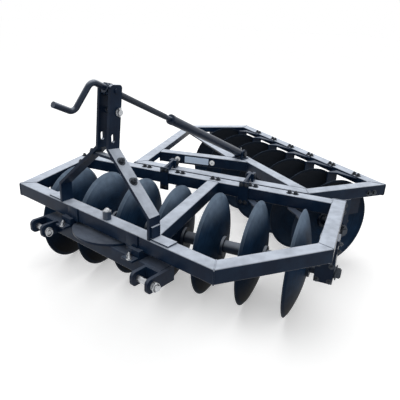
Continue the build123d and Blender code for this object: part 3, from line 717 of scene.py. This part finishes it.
class HARROW_OT_welds(bpy.types.Operator):
    """Weld beads round the joints of both frames"""

    bl_idname = "harrow.welds"
    bl_label = "Welds of the frames"

    foot_t: length("Foot thickness", "Thickness of a mast foot", 0.014)
    foot_w: length("Foot rear", "From the front bar's face to a mast foot's rear edge", 0.064)
    foot_in: length("Foot front", "From the front bar's face to a mast foot's front edge", 0.006)
    base_len: length("Bracket length", "Length of the base plate beside a mast foot", 0.100)
    lug_middle: length("Lug offset", "From a hinge's middle to the middle of one lug", 0.015)
    lug_long: length("Lug half thickness", "Half the thickness of a hinge lug", 0.007)
    lug_wide: length("Lug half depth", "Half the depth of a hinge lug", 0.022)
    same_end: length("Shared end", "Ends of bars that are nearer than this share a weld", 0.01)

    def execute(self, context):
        s = sizes()
        feet = {"front_frame": [], "rear_frame": []}
        for side in (-1, 1):
            for near, far in (
                (s.mast_foot - self.foot_t, s.mast_foot), (s.mast_foot, s.mast_foot + self.base_len),
            ):
                spot = ACROSS * (MIDDLE + side * (near + far) / 2)
                spot.y = FRONT_FACE + (self.foot_in + self.foot_w) / 2
                line = foot_line(spot, ACROSS, (far - near) / 2, (self.foot_w - self.foot_in) / 2)
                feet["front_frame"].append(line)
        for station in hinge_places():
            for side in (-1, 1):
                spot = station + HINGE_WAY * (self.lug_middle * side)
                feet["rear_frame"].append(foot_line(spot, HINGE_WAY, self.lug_long, self.lug_wide))
        groups = {
            "front_frame": (
                "front_bar", "right_front_bar", "right_side_bar", "front_gang_bar", "left_side_bar",
                "centre_strut",
            ),
            "rear_frame": (
                "rear_hinge_bar", "rear_right_bar", "rear_gang_bar", "rear_far_bar", "rear_left_bar",
                "rear_cross_bar", "rear_brace_left",
            ),
        }
        for body, nodes in groups.items():
            bm = bmesh.new()
            done = []
            for node in nodes:
                for centre, ring in bar_end_rings(node):
                    # two bars that meet share one bead
                    if any((centre - other).length < self.same_end for other in done):
                        continue
                    done.append(centre)
                    add_bead(bm, ring + [ring[0]], s.bead, s.bead_ripple)
            for line in feet[body]:
                add_bead(bm, line, s.foot_bead, s.bead_ripple, rise=1.05)
            finish_piece(body + "_welds", bm, body, "frame")
        return {"FINISHED"}


class HARROW_OT_scraper_bolts(bpy.types.Operator):
    """Pairs of bolts on the gang bars that hold the scrapers' arms"""

    bl_idname = "harrow.scraper_bolts"
    bl_label = "Scraper bolts"

    disc_pitch: length("Disc pitch", "Distance from one blade to the next", 0.2286)
    front_side: length("Front offset", "From a blade's rim to its pair of bolts on the front gang bar", 0.107)
    rear_side: length("Rear offset", "From a blade's rim to its pair of bolts on the rear gang bar", 0.149)
    front_in: length("Front distance", "From the front axle to its bolts in plan", 0.286)
    rear_in: length("Rear distance", "From the rear axle to its bolts in plan", 0.231)
    end_along: length("End bolt", "From the rear right bar's front corner to its first bolt", 0.43)
    end_pitch: length("End bolt pitch", "Distance between the two bolts on that bar", 0.038)
    end_height: length("End bolt height", "Height of those bolts over the ground", 0.495)

    def execute(self, context):
        s = sizes()
        half = s.scraper_pair / 2
        # blades counted from a gang's middle, and how far a bolt's thread shows
        rows = (
            ("front", FRONT_GANG, FRONT_WAY, range(-3, 4), -self.front_side, self.front_in, 0.004),
            ("rear", REAR_GANG, REAR_WAY, range(2, -4, -1), self.rear_side, self.rear_in, 0.005),
        )
        for name, gang, way, blades, offset, away, tail in rows:
            bm = bmesh.new()
            for blade in blades:
                for step in (-half, half):
                    place = gang + way * (blade * self.disc_pitch + offset + step) + left_of(way) * away
                    place.z = FRAME_TOP
                    add_bolt(bm, place, UP, s.scraper_bolt, tail)
            if name == "rear":
                for along in (self.end_along, self.end_along + self.end_pitch):
                    place = RIGHT_BAR_FACE + RIGHT_BAR_WAY * along + UP * self.end_height
                    add_bolt(bm, place, -left_of(RIGHT_BAR_WAY), s.scraper_bolt)
            finish_piece(name + "_scraper_bolts", bm, name + "_frame", "bolt")
        return {"FINISHED"}


class HARROW_OT_mast_fasteners(bpy.types.Operator):
    """Bolts through the mast's sloping legs, on both sides"""

    bl_idname = "harrow.mast_fasteners"
    bl_label = "Mast fasteners"

    lean: bpy.props.FloatProperty(
        name="Lean", description="How far the mast leans back", default=math.radians(5.0), subtype="ANGLE"
    )
    top_half: length("Top", "From the mast's middle to the outside of a plate", 0.042)
    knee: length("Knee", "Height of the plates' lower ends above the feet", 0.236)
    foot_top: length("Foot top", "Height of the feet's upper ends above the ground", 0.642)

    def execute(self, context):
        s = sizes()
        bm = bmesh.new()
        front_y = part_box("mast_plate_right")[0].y
        # share of a sloping leg from its foot, and distance from the leg's front edge
        leg_places = ((0.51, 0.031), (0.807, 0.030))
        turn = Matrix.Rotation(-self.lean, 4, "X")
        for side in (-1, 1):
            slope = Vector((side * (self.top_half - s.mast_foot), 0.0, self.knee))
            out = Vector((side * self.knee, 0.0, s.mast_foot - self.top_half)).normalized()
            for share, across in leg_places:
                local = Vector((side * s.mast_foot, across, 0.0)) + slope * share
                place = turn @ local + Vector((MIDDLE, front_y, self.foot_top))
                add_bolt(bm, place, (turn.to_3x3() @ out).normalized(), s.mast_bolt, tail=0.006)
        finish_piece("mast_leg_bolts", bm, "front_frame", "bolt")
        return {"FINISHED"}


class HARROW_OT_screw_details(bpy.types.Operator):
    """Thread of the levelling screw"""

    bl_idname = "harrow.screw_details"
    bl_label = "Levelling screw thread"

    rod_radius: length("Rod radius", "Outside radius of the screw's plain rod", 0.013)
    thread_start: length("Thread start", "From the screw's bearing to the first turn of its thread", 0.045)
    thread_end: length("Thread end", "From the screw's bearing to the last turn of its thread", 0.425)
    root: length("Root", "How far the thread's foot is sunk into the rod", 0.0004)
    crest: length("Crest", "How far the thread stands out of the rod", 0.0013)

    def execute(self, context):
        s = sizes()
        bm = bmesh.new()
        turns = int((self.thread_end - self.thread_start) / s.thread_pitch)
        start = SCREW_TOP + SCREW_WAY * self.thread_start
        side = SCREW_WAY.cross(ACROSS).normalized()
        low = self.rod_radius - self.root
        high = self.rod_radius + self.crest
        foot = s.thread_pitch * 0.375
        tip = s.thread_pitch * 0.1
        profile = [(-foot, low), (-tip, high), (tip, high), (foot, low)]
        verts = [bm.verts.new(start + SCREW_WAY * along + side * out) for along, out in profile]
        edges = [bm.edges.new((verts[k], verts[(k + 1) % 4])) for k in range(4)]
        steps = 16
        bmesh.ops.spin(
            bm, geom=verts + edges, cent=start, axis=SCREW_WAY, angle=math.tau * turns, steps=steps * turns,
            dvec=SCREW_WAY * (s.thread_pitch / steps), use_merge=False,
        )
        loose = [edge for edge in bm.edges if len(edge.link_faces) == 1]
        bmesh.ops.holes_fill(bm, edges=loose, sides=4)
        finish_piece("screw_thread", bm, "levelling_screw", "bolt")
        return {"FINISHED"}


class HARROW_OT_linch_pins(bpy.types.Operator):
    """Linch pins of the hitch pins and the top-link pin, with the lower pins' spring and pull rings"""

    bl_idname = "harrow.linch_pins"
    bl_label = "Linch pins"

    hitch_out: length("Lower place", "From the machine's hitch middle to a lower linch pin", 0.4315)
    lower_radius: length("Lower pin", "Radius of a lower hitch pin", 0.014)
    top_out: length("Upper place", "From the mast's middle to the linch pin of the top link", 0.0535)
    top_radius: length("Upper pin", "Radius of the top-link pin", 0.0125)
    stem: length("Stem", "Radius of a linch pin's stem", 0.0035)
    reach: length("Reach", "How far a linch pin stands out of its pin", 0.007)
    head: length("Head", "Height of a linch pin's head", 0.008)
    head_radius: length("Head radius", "Radius of a linch pin's head", 0.00665)
    head_seat: length("Head seat", "Gap between a linch pin's head and its pin", 0.0005)
    boss: length("Boss", "Height of the boss that holds a pull ring", 0.005)
    boss_radius: length("Boss radius", "Radius of that boss", 0.0056)
    pull_radius: length("Pull ring", "Middle radius of the ring at the head of a lower pin", 0.018)
    pull_wire: length("Pull ring wire", "Radius of the wire of that ring", 0.0026)
    pull_drop: length("Pull ring drop", "How far that ring hangs under the pin's middle", 0.008)

    def execute(self, context):
        s = sizes()
        lower = sum(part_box("hitch_pins"), Vector()) / 2
        upper = sum(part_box("top_link_pin"), Vector()) / 2
        places = [
            (Vector((MIDDLE - self.hitch_out, lower.y, lower.z)), self.lower_radius),
            (Vector((MIDDLE + self.hitch_out, lower.y, lower.z)), self.lower_radius),
            (Vector((MIDDLE + self.top_out, upper.y, upper.z)), self.top_radius),
        ]
        bm = bmesh.new()
        for place, radius in places:
            half = radius + self.reach
            add_round(bm, place - UP * half, UP, self.stem, half * 2, sides=16, chamfer=0.0008)
            top = place + UP * (radius + self.head_seat)
            add_round(bm, top, UP, self.head_radius, self.head, sides=20, chamfer=0.0012)
            if radius == self.lower_radius:
                drop = s.ring_radius - s.ring_wire - radius
                add_ring(bm, place - UP * drop, ACROSS, s.ring_radius, s.ring_wire)
        points = [v.co.x for v in frame["nodes"]["hitch_pins"].data.vertices]
        inner = (max(x for x in points if x < MIDDLE), min(x for x in points if x > MIDDLE))
        for x, side in zip(inner, (1, -1)):
            hang = Vector((x + side * self.pull_wire, lower.y, lower.z - self.pull_drop))
            add_ring(bm, hang, ACROSS, self.pull_radius, self.pull_wire)
            root = Vector((x, lower.y, lower.z))
            add_round(bm, root, ACROSS * side, self.boss_radius, self.boss, sides=20, chamfer=0.001)
        finish_piece("linch_pins", bm, "front_frame", "zinc")
        return {"FINISHED"}


class HARROW_OT_hitch_fittings(bpy.types.Operator):
    """Straps and bolted lugs of the hitch clamps, and the half-round plate on the hitch beam"""

    bl_idname = "harrow.hitch_fittings"
    bl_label = "Hitch fittings"

    strap_out: length("Strap", "From the hitch's middle to the middle of a strap", 0.207)
    strap_half: length("Strap half width", "Half the width of a strap on the front bar", 0.036)
    strap_t: length("Strap thickness", "Thickness of a strap", 0.006)
    lug_out: length("Lug", "From the hitch's middle to the middle of a bolted lug", 0.236)
    lug_half: length("Lug half width", "Half the width of a lug", 0.033)
    lug_reach: length("Lug reach", "How far a lug stands ahead of the beam", 0.040)
    lug_t: length("Lug thickness", "Thickness of a lug", 0.010)
    lug_nut: length("Lug nut", "Across the flats of the nuts on the lugs", 0.015)
    stud: length("Stud", "Height of a stud over its nut", 0.006)
    plate_radius: length("Plate radius", "Radius of the half-round plate's edge", 0.196)
    plate_front: length("Plate front", "How far the plate stands ahead of the front bar", 0.082)
    plate_side: length("Plate side", "From the hitch's middle to the plate's middle, to the left", 0.050)
    plate_t: length("Plate thickness", "Thickness of the half-round plate", 0.012)
    plate_back: length("Plate back", "How far the plate stops short of the beam's rear face", 0.012)
    edge: length("Edge", "Width of the broken edges of straps, lugs and plate", 0.0012)

    def execute(self, context):
        beam_low, beam_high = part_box("hitch_beam")
        # places of the two nuts on a lug: to the right of its middle, and ahead of the beam
        nut_places = ((-0.013, 0.010), (0.009, 0.030))
        plates = bmesh.new()
        nuts = bmesh.new()
        for side in (-1, 1):
            x = MIDDLE + side * self.strap_out
            low = Vector((x - self.strap_half, FRONT_FACE - self.strap_t, FRAME_LOW))
            add_plate(plates, low, Vector((x + self.strap_half, FRONT_FACE, FRAME_TOP)), self.edge)
            x = MIDDLE + side * self.lug_out
            top = beam_high.z + self.lug_t
            low = Vector((x - self.lug_half, beam_low.y - self.lug_reach, beam_high.z))
            add_plate(plates, low, Vector((x + self.lug_half, beam_low.y, top)), self.edge)
            for across, ahead in nut_places:
                add_bolt(nuts, Vector((x + across, beam_low.y - ahead, top)), UP, self.lug_nut, self.stud)
        finish_piece("clamp_straps", plates, "front_frame", "bracket")
        finish_piece("clamp_nuts", nuts, "front_frame", "zinc")
        bm = bmesh.new()
        front = FRONT_FACE - self.plate_front
        centre = Vector((MIDDLE - self.plate_side, front + self.plate_radius, beam_high.z))
        bmesh.ops.create_circle(
            bm, cap_ends=True, segments=160, radius=self.plate_radius, matrix=Matrix.Translation(centre),
        )
        bmesh.ops.bisect_plane(
            bm, geom=bm.verts[:] + bm.edges[:] + bm.faces[:], clear_outer=True,
            plane_co=Vector((0.0, beam_high.y - self.plate_back, 0.0)), plane_no=Vector((0.0, 1.0, 0.0)),
        )
        raised = bmesh.ops.extrude_face_region(bm, geom=bm.faces[:])["geom"]
        top = [item for item in raised if isinstance(item, bmesh.types.BMVert)]
        bmesh.ops.translate(bm, verts=top, vec=UP * self.plate_t)
        bmesh.ops.recalc_face_normals(bm, faces=bm.faces)
        steep = math.radians(60.0)
        rim = [edge for edge in bm.edges if len(edge.link_faces) == 2 and edge.calc_face_angle() > steep]
        bevel(bm, rim, self.edge)
        finish_piece("hitch_plate", bm, "front_frame", "plate")
        return {"FINISHED"}


class HARROW_OT_hinge_fittings(bpy.types.Operator):
    """Bolts of the hinge clamps, and the screw and the bead at the tube's lower eye"""

    bl_idname = "harrow.hinge_fittings"
    bl_label = "Hinge and eye fittings"

    clamp_reach: length("Clamp reach", "From the hinge axis forward to the clamps' front face", 0.131)
    bolt_side: length("Bolt side", "From a clamp's middle to a bolt", 0.0135)
    upper: length("Upper bolts", "Height of the bolts over the bar", 0.556)
    lower: length("Lower bolts", "Height of the bolts under the bar", 0.451)
    eye_radius: length("Eye", "Outside radius of the tube's lower eye", 0.020)
    eye_screw: length("Eye screw", "Across the flats of the locking screw on the eye", 0.0105)
    eye_seat: length("Eye seat", "How far the locking screw's washer is sunk into the round eye", 0.0005)
    neck_radius: length("Neck bead", "Middle radius of the bead between the tube and its eye", 0.016)
    neck_length: length("Neck length", "From the eye's middle to the tube's end", 0.044)

    def execute(self, context):
        s = sizes()
        ahead = -left_of(HINGE_WAY).normalized()
        bm = bmesh.new()
        for station in hinge_places():
            for side in (-1, 1):
                for height in (self.upper, self.lower):
                    spot = station + HINGE_WAY * (side * self.bolt_side) + ahead * self.clamp_reach
                    spot.z = height
                    add_bolt(bm, spot, ahead, s.clamp_screw, tail=0.004)
        finish_piece("hinge_clamp_bolts", bm, "front_frame", "bolt")
        bm = bmesh.new()
        add_bolt(bm, APEX + UP * (self.eye_radius - self.eye_seat), UP, self.eye_screw, tail=0.012)
        finish_piece("eye_bolt", bm, "levelling_tube", "zinc")
        bm = bmesh.new()
        run = (APEX - SCREW_TOP).dot(SCREW_WAY) - self.neck_length
        add_ring(bm, SCREW_TOP + SCREW_WAY * run, SCREW_WAY, self.neck_radius, s.bead)
        finish_piece("eye_bead", bm, "levelling_tube", "bracket")
        return {"FINISHED"}


class HARROW_OT_hanger_fittings(bpy.types.Operator):
    """Bolts round each gang bearing and a grease nipple on top of it"""

    bl_idname = "harrow.hanger_fittings"
    bl_label = "Bearing fittings"

    half_span: length("Half gang", "From a gang's middle to its end blade's rim", 0.6858)
    half_depth: length("Half depth", "Half the depth of a bearing housing", 0.043)
    housing_top: length("Housing top", "Height of a housing over the axle", 0.062)
    housing_low: length("Housing low", "Depth of a housing under the axle", 0.049)
    bearing_bolt: length("Bearing bolt", "Across the flats of the bolts of a housing", 0.0152)
    bolt_along: length("Bolt side", "From a housing's middle to its bolts along the axle", 0.031)
    bolt_down: length("Upper bolts", "From a housing's top down to its upper bolts", 0.014)
    bolt_up: length("Lower bolts", "From a housing's underside up to its lower bolts", 0.013)
    hexagon: length("Hexagon", "Height of a grease nipple's hexagon", 0.005)
    cone: length("Cone", "Height of a grease nipple's cone", 0.006)
    ball: length("Ball", "Height of a grease nipple's ball", 0.004)

    def execute(self, context):
        s = sizes()
        # heights of a hanger's own bolts over the axle
        hanger_bolts = (0.115, 0.158)
        # from the end blade to a hanger, the end of the gang that it stands at, and the housing's length
        gangs = (
            ("front", FRONT_GANG, FRONT_WAY, ((0.149, 1, 0.090), (0.094, -1, 0.090))),
            ("rear", REAR_GANG, REAR_WAY, ((0.061, 1, 0.076), (0.173, -1, 0.090))),
        )
        for name, middle, way, places in gangs:
            across = left_of(way).normalized()
            bolts = bmesh.new()
            nipples = bmesh.new()
            for offset, side, long in places:
                here = middle + way * (side * (self.half_span + offset))
                # a short housing has its bolts 12 mm from its ends
                along = min(self.bolt_along, long / 2 - 0.012)
                for face in (-1, 1):
                    for a in (-along, along):
                        for height in (self.housing_top - self.bolt_down, self.bolt_up - self.housing_low):
                            spot = here + way * a + across * (face * self.half_depth) + UP * height
                            add_bolt(bolts, spot, across * face, self.bearing_bolt, tail=0.003)
                for height in hanger_bolts:
                    spot = here + way * (side * long / 2) + UP * height
                    add_bolt(bolts, spot, way * side, s.hanger_bolt, tail=0.004)
                # a nipple is a hexagon, a cone and a ball
                top = here + UP * self.housing_top
                add_round(nipples, top, UP, s.nipple * 1.5, self.hexagon, sides=6, chamfer=0.0006)
                top = top + UP * self.hexagon
                add_round(nipples, top, UP, s.nipple, self.cone, sides=20, top_radius=s.nipple * 0.55)
                top = top + UP * self.cone
                add_round(nipples, top, UP, s.nipple * 0.8, self.ball, sides=20, chamfer=0.0012)
            finish_piece(name + "_bearing_bolts", bolts, name + "_frame", "bolt")
            finish_piece(name + "_grease_nipples", nipples, name + "_frame", "zinc")
        return {"FINISHED"}


class HARROW_OT_reflectors(bpy.types.Operator):
    """Lens, dark rim and screw of the two round reflectors beside the board"""

    bl_idname = "harrow.reflectors"
    bl_label = "Reflectors"

    height: length("Height", "Height of the reflectors over the ground", 0.504)
    stand: length("Stand", "From the cross bar's face to the front of a reflector's body", 0.006)
    radius: length("Radius", "Radius of a reflector's lens", 0.0175)
    lens: length("Lens", "Thickness of a reflector's lens", 0.0045)
    lens_seat: length("Lens seat", "How far a lens is sunk into the reflector's body", 0.002)
    rim: length("Rim", "Radius of the wire-like rim round a lens", 0.0012)
    screw: length("Screw", "Radius of the screw's head on a lens", 0.0032)
    screw_t: length("Screw height", "Height of that head", 0.0016)
    left: length("Left", "From the cross bar's left end to the left reflector", 0.122)
    right: length("Right", "From the cross bar's left end to the right reflector", 0.368)

    def execute(self, context):
        ahead = -left_of(CROSS_BAR_WAY)
        lenses = bmesh.new()
        rims = bmesh.new()
        for along in (self.left, self.right):
            spot = CROSS_BAR_FACE + UP * self.height + CROSS_BAR_WAY * along + ahead * self.stand
            root = spot - ahead * self.lens_seat
            add_round(lenses, root, ahead, self.radius, self.lens, sides=40, chamfer=0.0012)
            add_ring(rims, spot, ahead, self.radius + self.rim / 2, self.rim, steps=40)
            face = root + ahead * self.lens
            add_round(rims, face, ahead, self.screw, self.screw_t, sides=16, chamfer=0.0004)
        finish_piece("reflector_lenses", lenses, "rear_frame", "reflector")
        finish_piece("reflector_rims", rims, "rear_frame", "rubber")
        return {"FINISHED"}


def seen_directly(tree):
    """1 for what the picture, a shiny surface or a clear one shows, and 0 for other light"""
    ray = add_node(tree, "ShaderNodeLightPath")
    first = add_node(
        tree, "ShaderNodeMath", operation="MAXIMUM",
        links={0: ray.outputs["Is Camera Ray"], 1: ray.outputs["Is Glossy Ray"]},
    )
    either = add_node(
        tree, "ShaderNodeMath", operation="MAXIMUM",
        links={0: first.outputs["Value"], 1: ray.outputs["Is Transmission Ray"]},
    )
    return either.outputs["Value"]


class HARROW_OT_stage(bpy.types.Operator):
    """Pale floor, soft light and a camera at the photograph's angle"""

    bl_idname = "harrow.stage"
    bl_label = "Studio"

    bounce: bpy.props.FloatProperty(
        name="Bounce", description="Share of the light that the floor gives back", default=0.16,
        min=0.0, max=1.0,
    )
    floor_lift: bpy.props.FloatProperty(
        name="Floor lift", description="Glow that shows the floor as white", default=0.38,
        min=0.0, max=1.0,
    )
    key_power: bpy.props.FloatProperty(
        name="Key", description="Power of the soft key light", default=110.0, min=0.0, unit="POWER"
    )
    key_size: length("Key size", "Diameter of the soft key light", 6.0)
    floor_half: length("Floor size", "Half the side of the floor", 60.0)

    def execute(self, context):
        scene = context.scene
        self.make_floor(scene)
        self.make_sky(scene)
        self.make_key(scene)
        self.make_camera(scene)
        scene.view_settings.view_transform = "Standard"
        return {"FINISHED"}

    def make_floor(self, scene):
        """floor that the picture shows almost white, with the object's shadow on it"""
        base = colours().floor
        bm = bmesh.new()
        bmesh.ops.create_grid(bm, x_segments=2, y_segments=2, size=self.floor_half)
        mesh = bpy.data.meshes.new("floor")
        bm.to_mesh(mesh)
        bm.free()
        floor = bpy.data.objects.new("floor", mesh)
        scene.collection.objects.link(floor)
        made, tree, shader, place = start_material("matt_studio_floor")
        grain = add_node(
            tree, "ShaderNodeTexNoise", values={"Scale": 3.0, "Detail": 2.0},
            links={"Vector": place["Object"]},
        )
        body = mixed(tree, grain.outputs["Fac"], base, tinted(base, 0.985))
        shader.inputs["Roughness"].default_value = 0.9
        shader.inputs["Specular IOR Level"].default_value = 0.0
        seen = seen_directly(tree)
        # the picture shows the floor pale, but little light comes back up from it to the machine
        shown = mixed(tree, seen, (self.bounce, self.bounce, self.bounce, 1.0), body)
        tree.links.new(shown, shader.inputs["Base Color"])
        lift = add_node(
            tree, "ShaderNodeMath", operation="MULTIPLY", values={1: self.floor_lift}, links={0: seen},
        )
        tree.links.new(lift.outputs["Value"], shader.inputs["Emission Strength"])
        shader.inputs["Emission Color"].default_value = (1.0, 1.0, 1.0, 1.0)
        mesh.materials.append(made)

    def make_sky(self, scene):
        """sky that is brighter overhead, and white where it is seen"""
        world = bpy.data.worlds.new("studio_sky")
        world.use_nodes = True
        sky = world.node_tree
        sky.nodes.clear()
        where = add_node(sky, "ShaderNodeTexCoord")
        parts = add_node(sky, "ShaderNodeSeparateXYZ", links={"Vector": where.outputs["Generated"]})
        ramp = add_node(sky, "ShaderNodeValToRGB", links={"Fac": parts.outputs["Z"]})
        while len(ramp.color_ramp.elements) < len(SKY_STOPS):
            ramp.color_ramp.elements.new(0.5)
        for element, (height, level) in zip(ramp.color_ramp.elements, SKY_STOPS):
            element.position = height
            element.color = (level, level, level, 1.0)
        light = add_node(
            sky, "ShaderNodeBackground", values={"Strength": SKY_STRENGTH},
            links={"Color": ramp.outputs["Color"]},
        )
        white = add_node(
            sky, "ShaderNodeBackground", values={"Color": (1.0, 1.0, 1.0, 1.0), "Strength": 1.0},
        )
        shown = add_node(
            sky, "ShaderNodeMixShader",
            links={0: seen_directly(sky), 1: light.outputs["Background"], 2: white.outputs["Background"]},
        )
        add_node(sky, "ShaderNodeOutputWorld", links={"Surface": shown.outputs["Shader"]})
        scene.world = world

    def make_key(self, scene):
        """soft light from above the rear frame, which gives the shadows"""
        lamp = bpy.data.lights.new("soft_key", "AREA")
        lamp.shape = "DISK"
        lamp.size = self.key_size
        lamp.energy = self.key_power
        key = bpy.data.objects.new("soft_key", lamp)
        key.matrix_world = facing(KEY_PLACE, KEY_PLACE.normalized())
        scene.collection.objects.link(key)

    def make_camera(self, scene):
        """camera at the photograph's angle; the picture's sideways squeeze is left out of it"""
        view = bpy.data.cameras.new("photo_camera")
        view.sensor_width = SENSOR
        view.lens = SENSOR * FOCAL / PICTURE
        view.shift_x = OFF_CENTRE.x / PICTURE
        view.shift_y = OFF_CENTRE.y * SQUEEZE / PICTURE
        view.clip_end = 200.0
        ahead = Vector((math.sin(YAW) * math.cos(DIP), math.cos(YAW) * math.cos(DIP), -math.sin(DIP)))
        right = Vector((math.cos(YAW), -math.sin(YAW), 0.0))
        top = right.cross(ahead)
        right_rolled = right * math.cos(ROLL) + top * math.sin(ROLL)
        top_rolled = top * math.cos(ROLL) - right * math.sin(ROLL)
        camera = bpy.data.objects.new("photo_camera", view)
        turned = Matrix((right_rolled, top_rolled, -ahead)).transposed().to_4x4()
        camera.matrix_world = Matrix.Translation(CAMERA_PLACE) @ turned
        scene.collection.objects.link(camera)
        scene.camera = camera


STEPS = (
    HARROW_OT_finishes,
    HARROW_OT_welds,
    HARROW_OT_scraper_bolts,
    HARROW_OT_mast_fasteners,
    HARROW_OT_screw_details,
    HARROW_OT_linch_pins,
    HARROW_OT_hitch_fittings,
    HARROW_OT_hinge_fittings,
    HARROW_OT_hanger_fittings,
    HARROW_OT_reflectors,
    HARROW_OT_stage,
)


class HARROW_PT_pieces(bpy.types.Panel):
    """Lists the harrow's pieces in the sidebar"""

    bl_label = "Offset disc harrow"
    bl_space_type = "VIEW_3D"
    bl_region_type = "UI"
    bl_category = "Harrow"

    def draw(self, context):
        for step in STEPS:
            self.layout.operator(step.bl_idname)
        for group in (context.scene.harrow_sizes, context.scene.harrow_colours):
            for name in group.__annotations__:
                self.layout.prop(group, name)


CLASSES = (HARROW_PG_colours, HARROW_PG_sizes) + STEPS + (HARROW_PT_pieces,)


def register():
    for item in CLASSES:
        bpy.utils.register_class(item)
    bpy.types.Scene.harrow_colours = bpy.props.PointerProperty(type=HARROW_PG_colours)
    bpy.types.Scene.harrow_sizes = bpy.props.PointerProperty(type=HARROW_PG_sizes)


def unregister():
    del bpy.types.Scene.harrow_sizes
    del bpy.types.Scene.harrow_colours
    for item in reversed(CLASSES):
        bpy.utils.unregister_class(item)


def run_step(step):
    group, name = step.bl_idname.split(".")
    result = getattr(getattr(bpy.ops, group), name)()
    if result != {"FINISHED"}:
        raise RuntimeError(step.bl_idname + " did not finish")


def main():
    register()
    for step in STEPS:
        run_step(step)


if __name__ == "__main__":
    main()
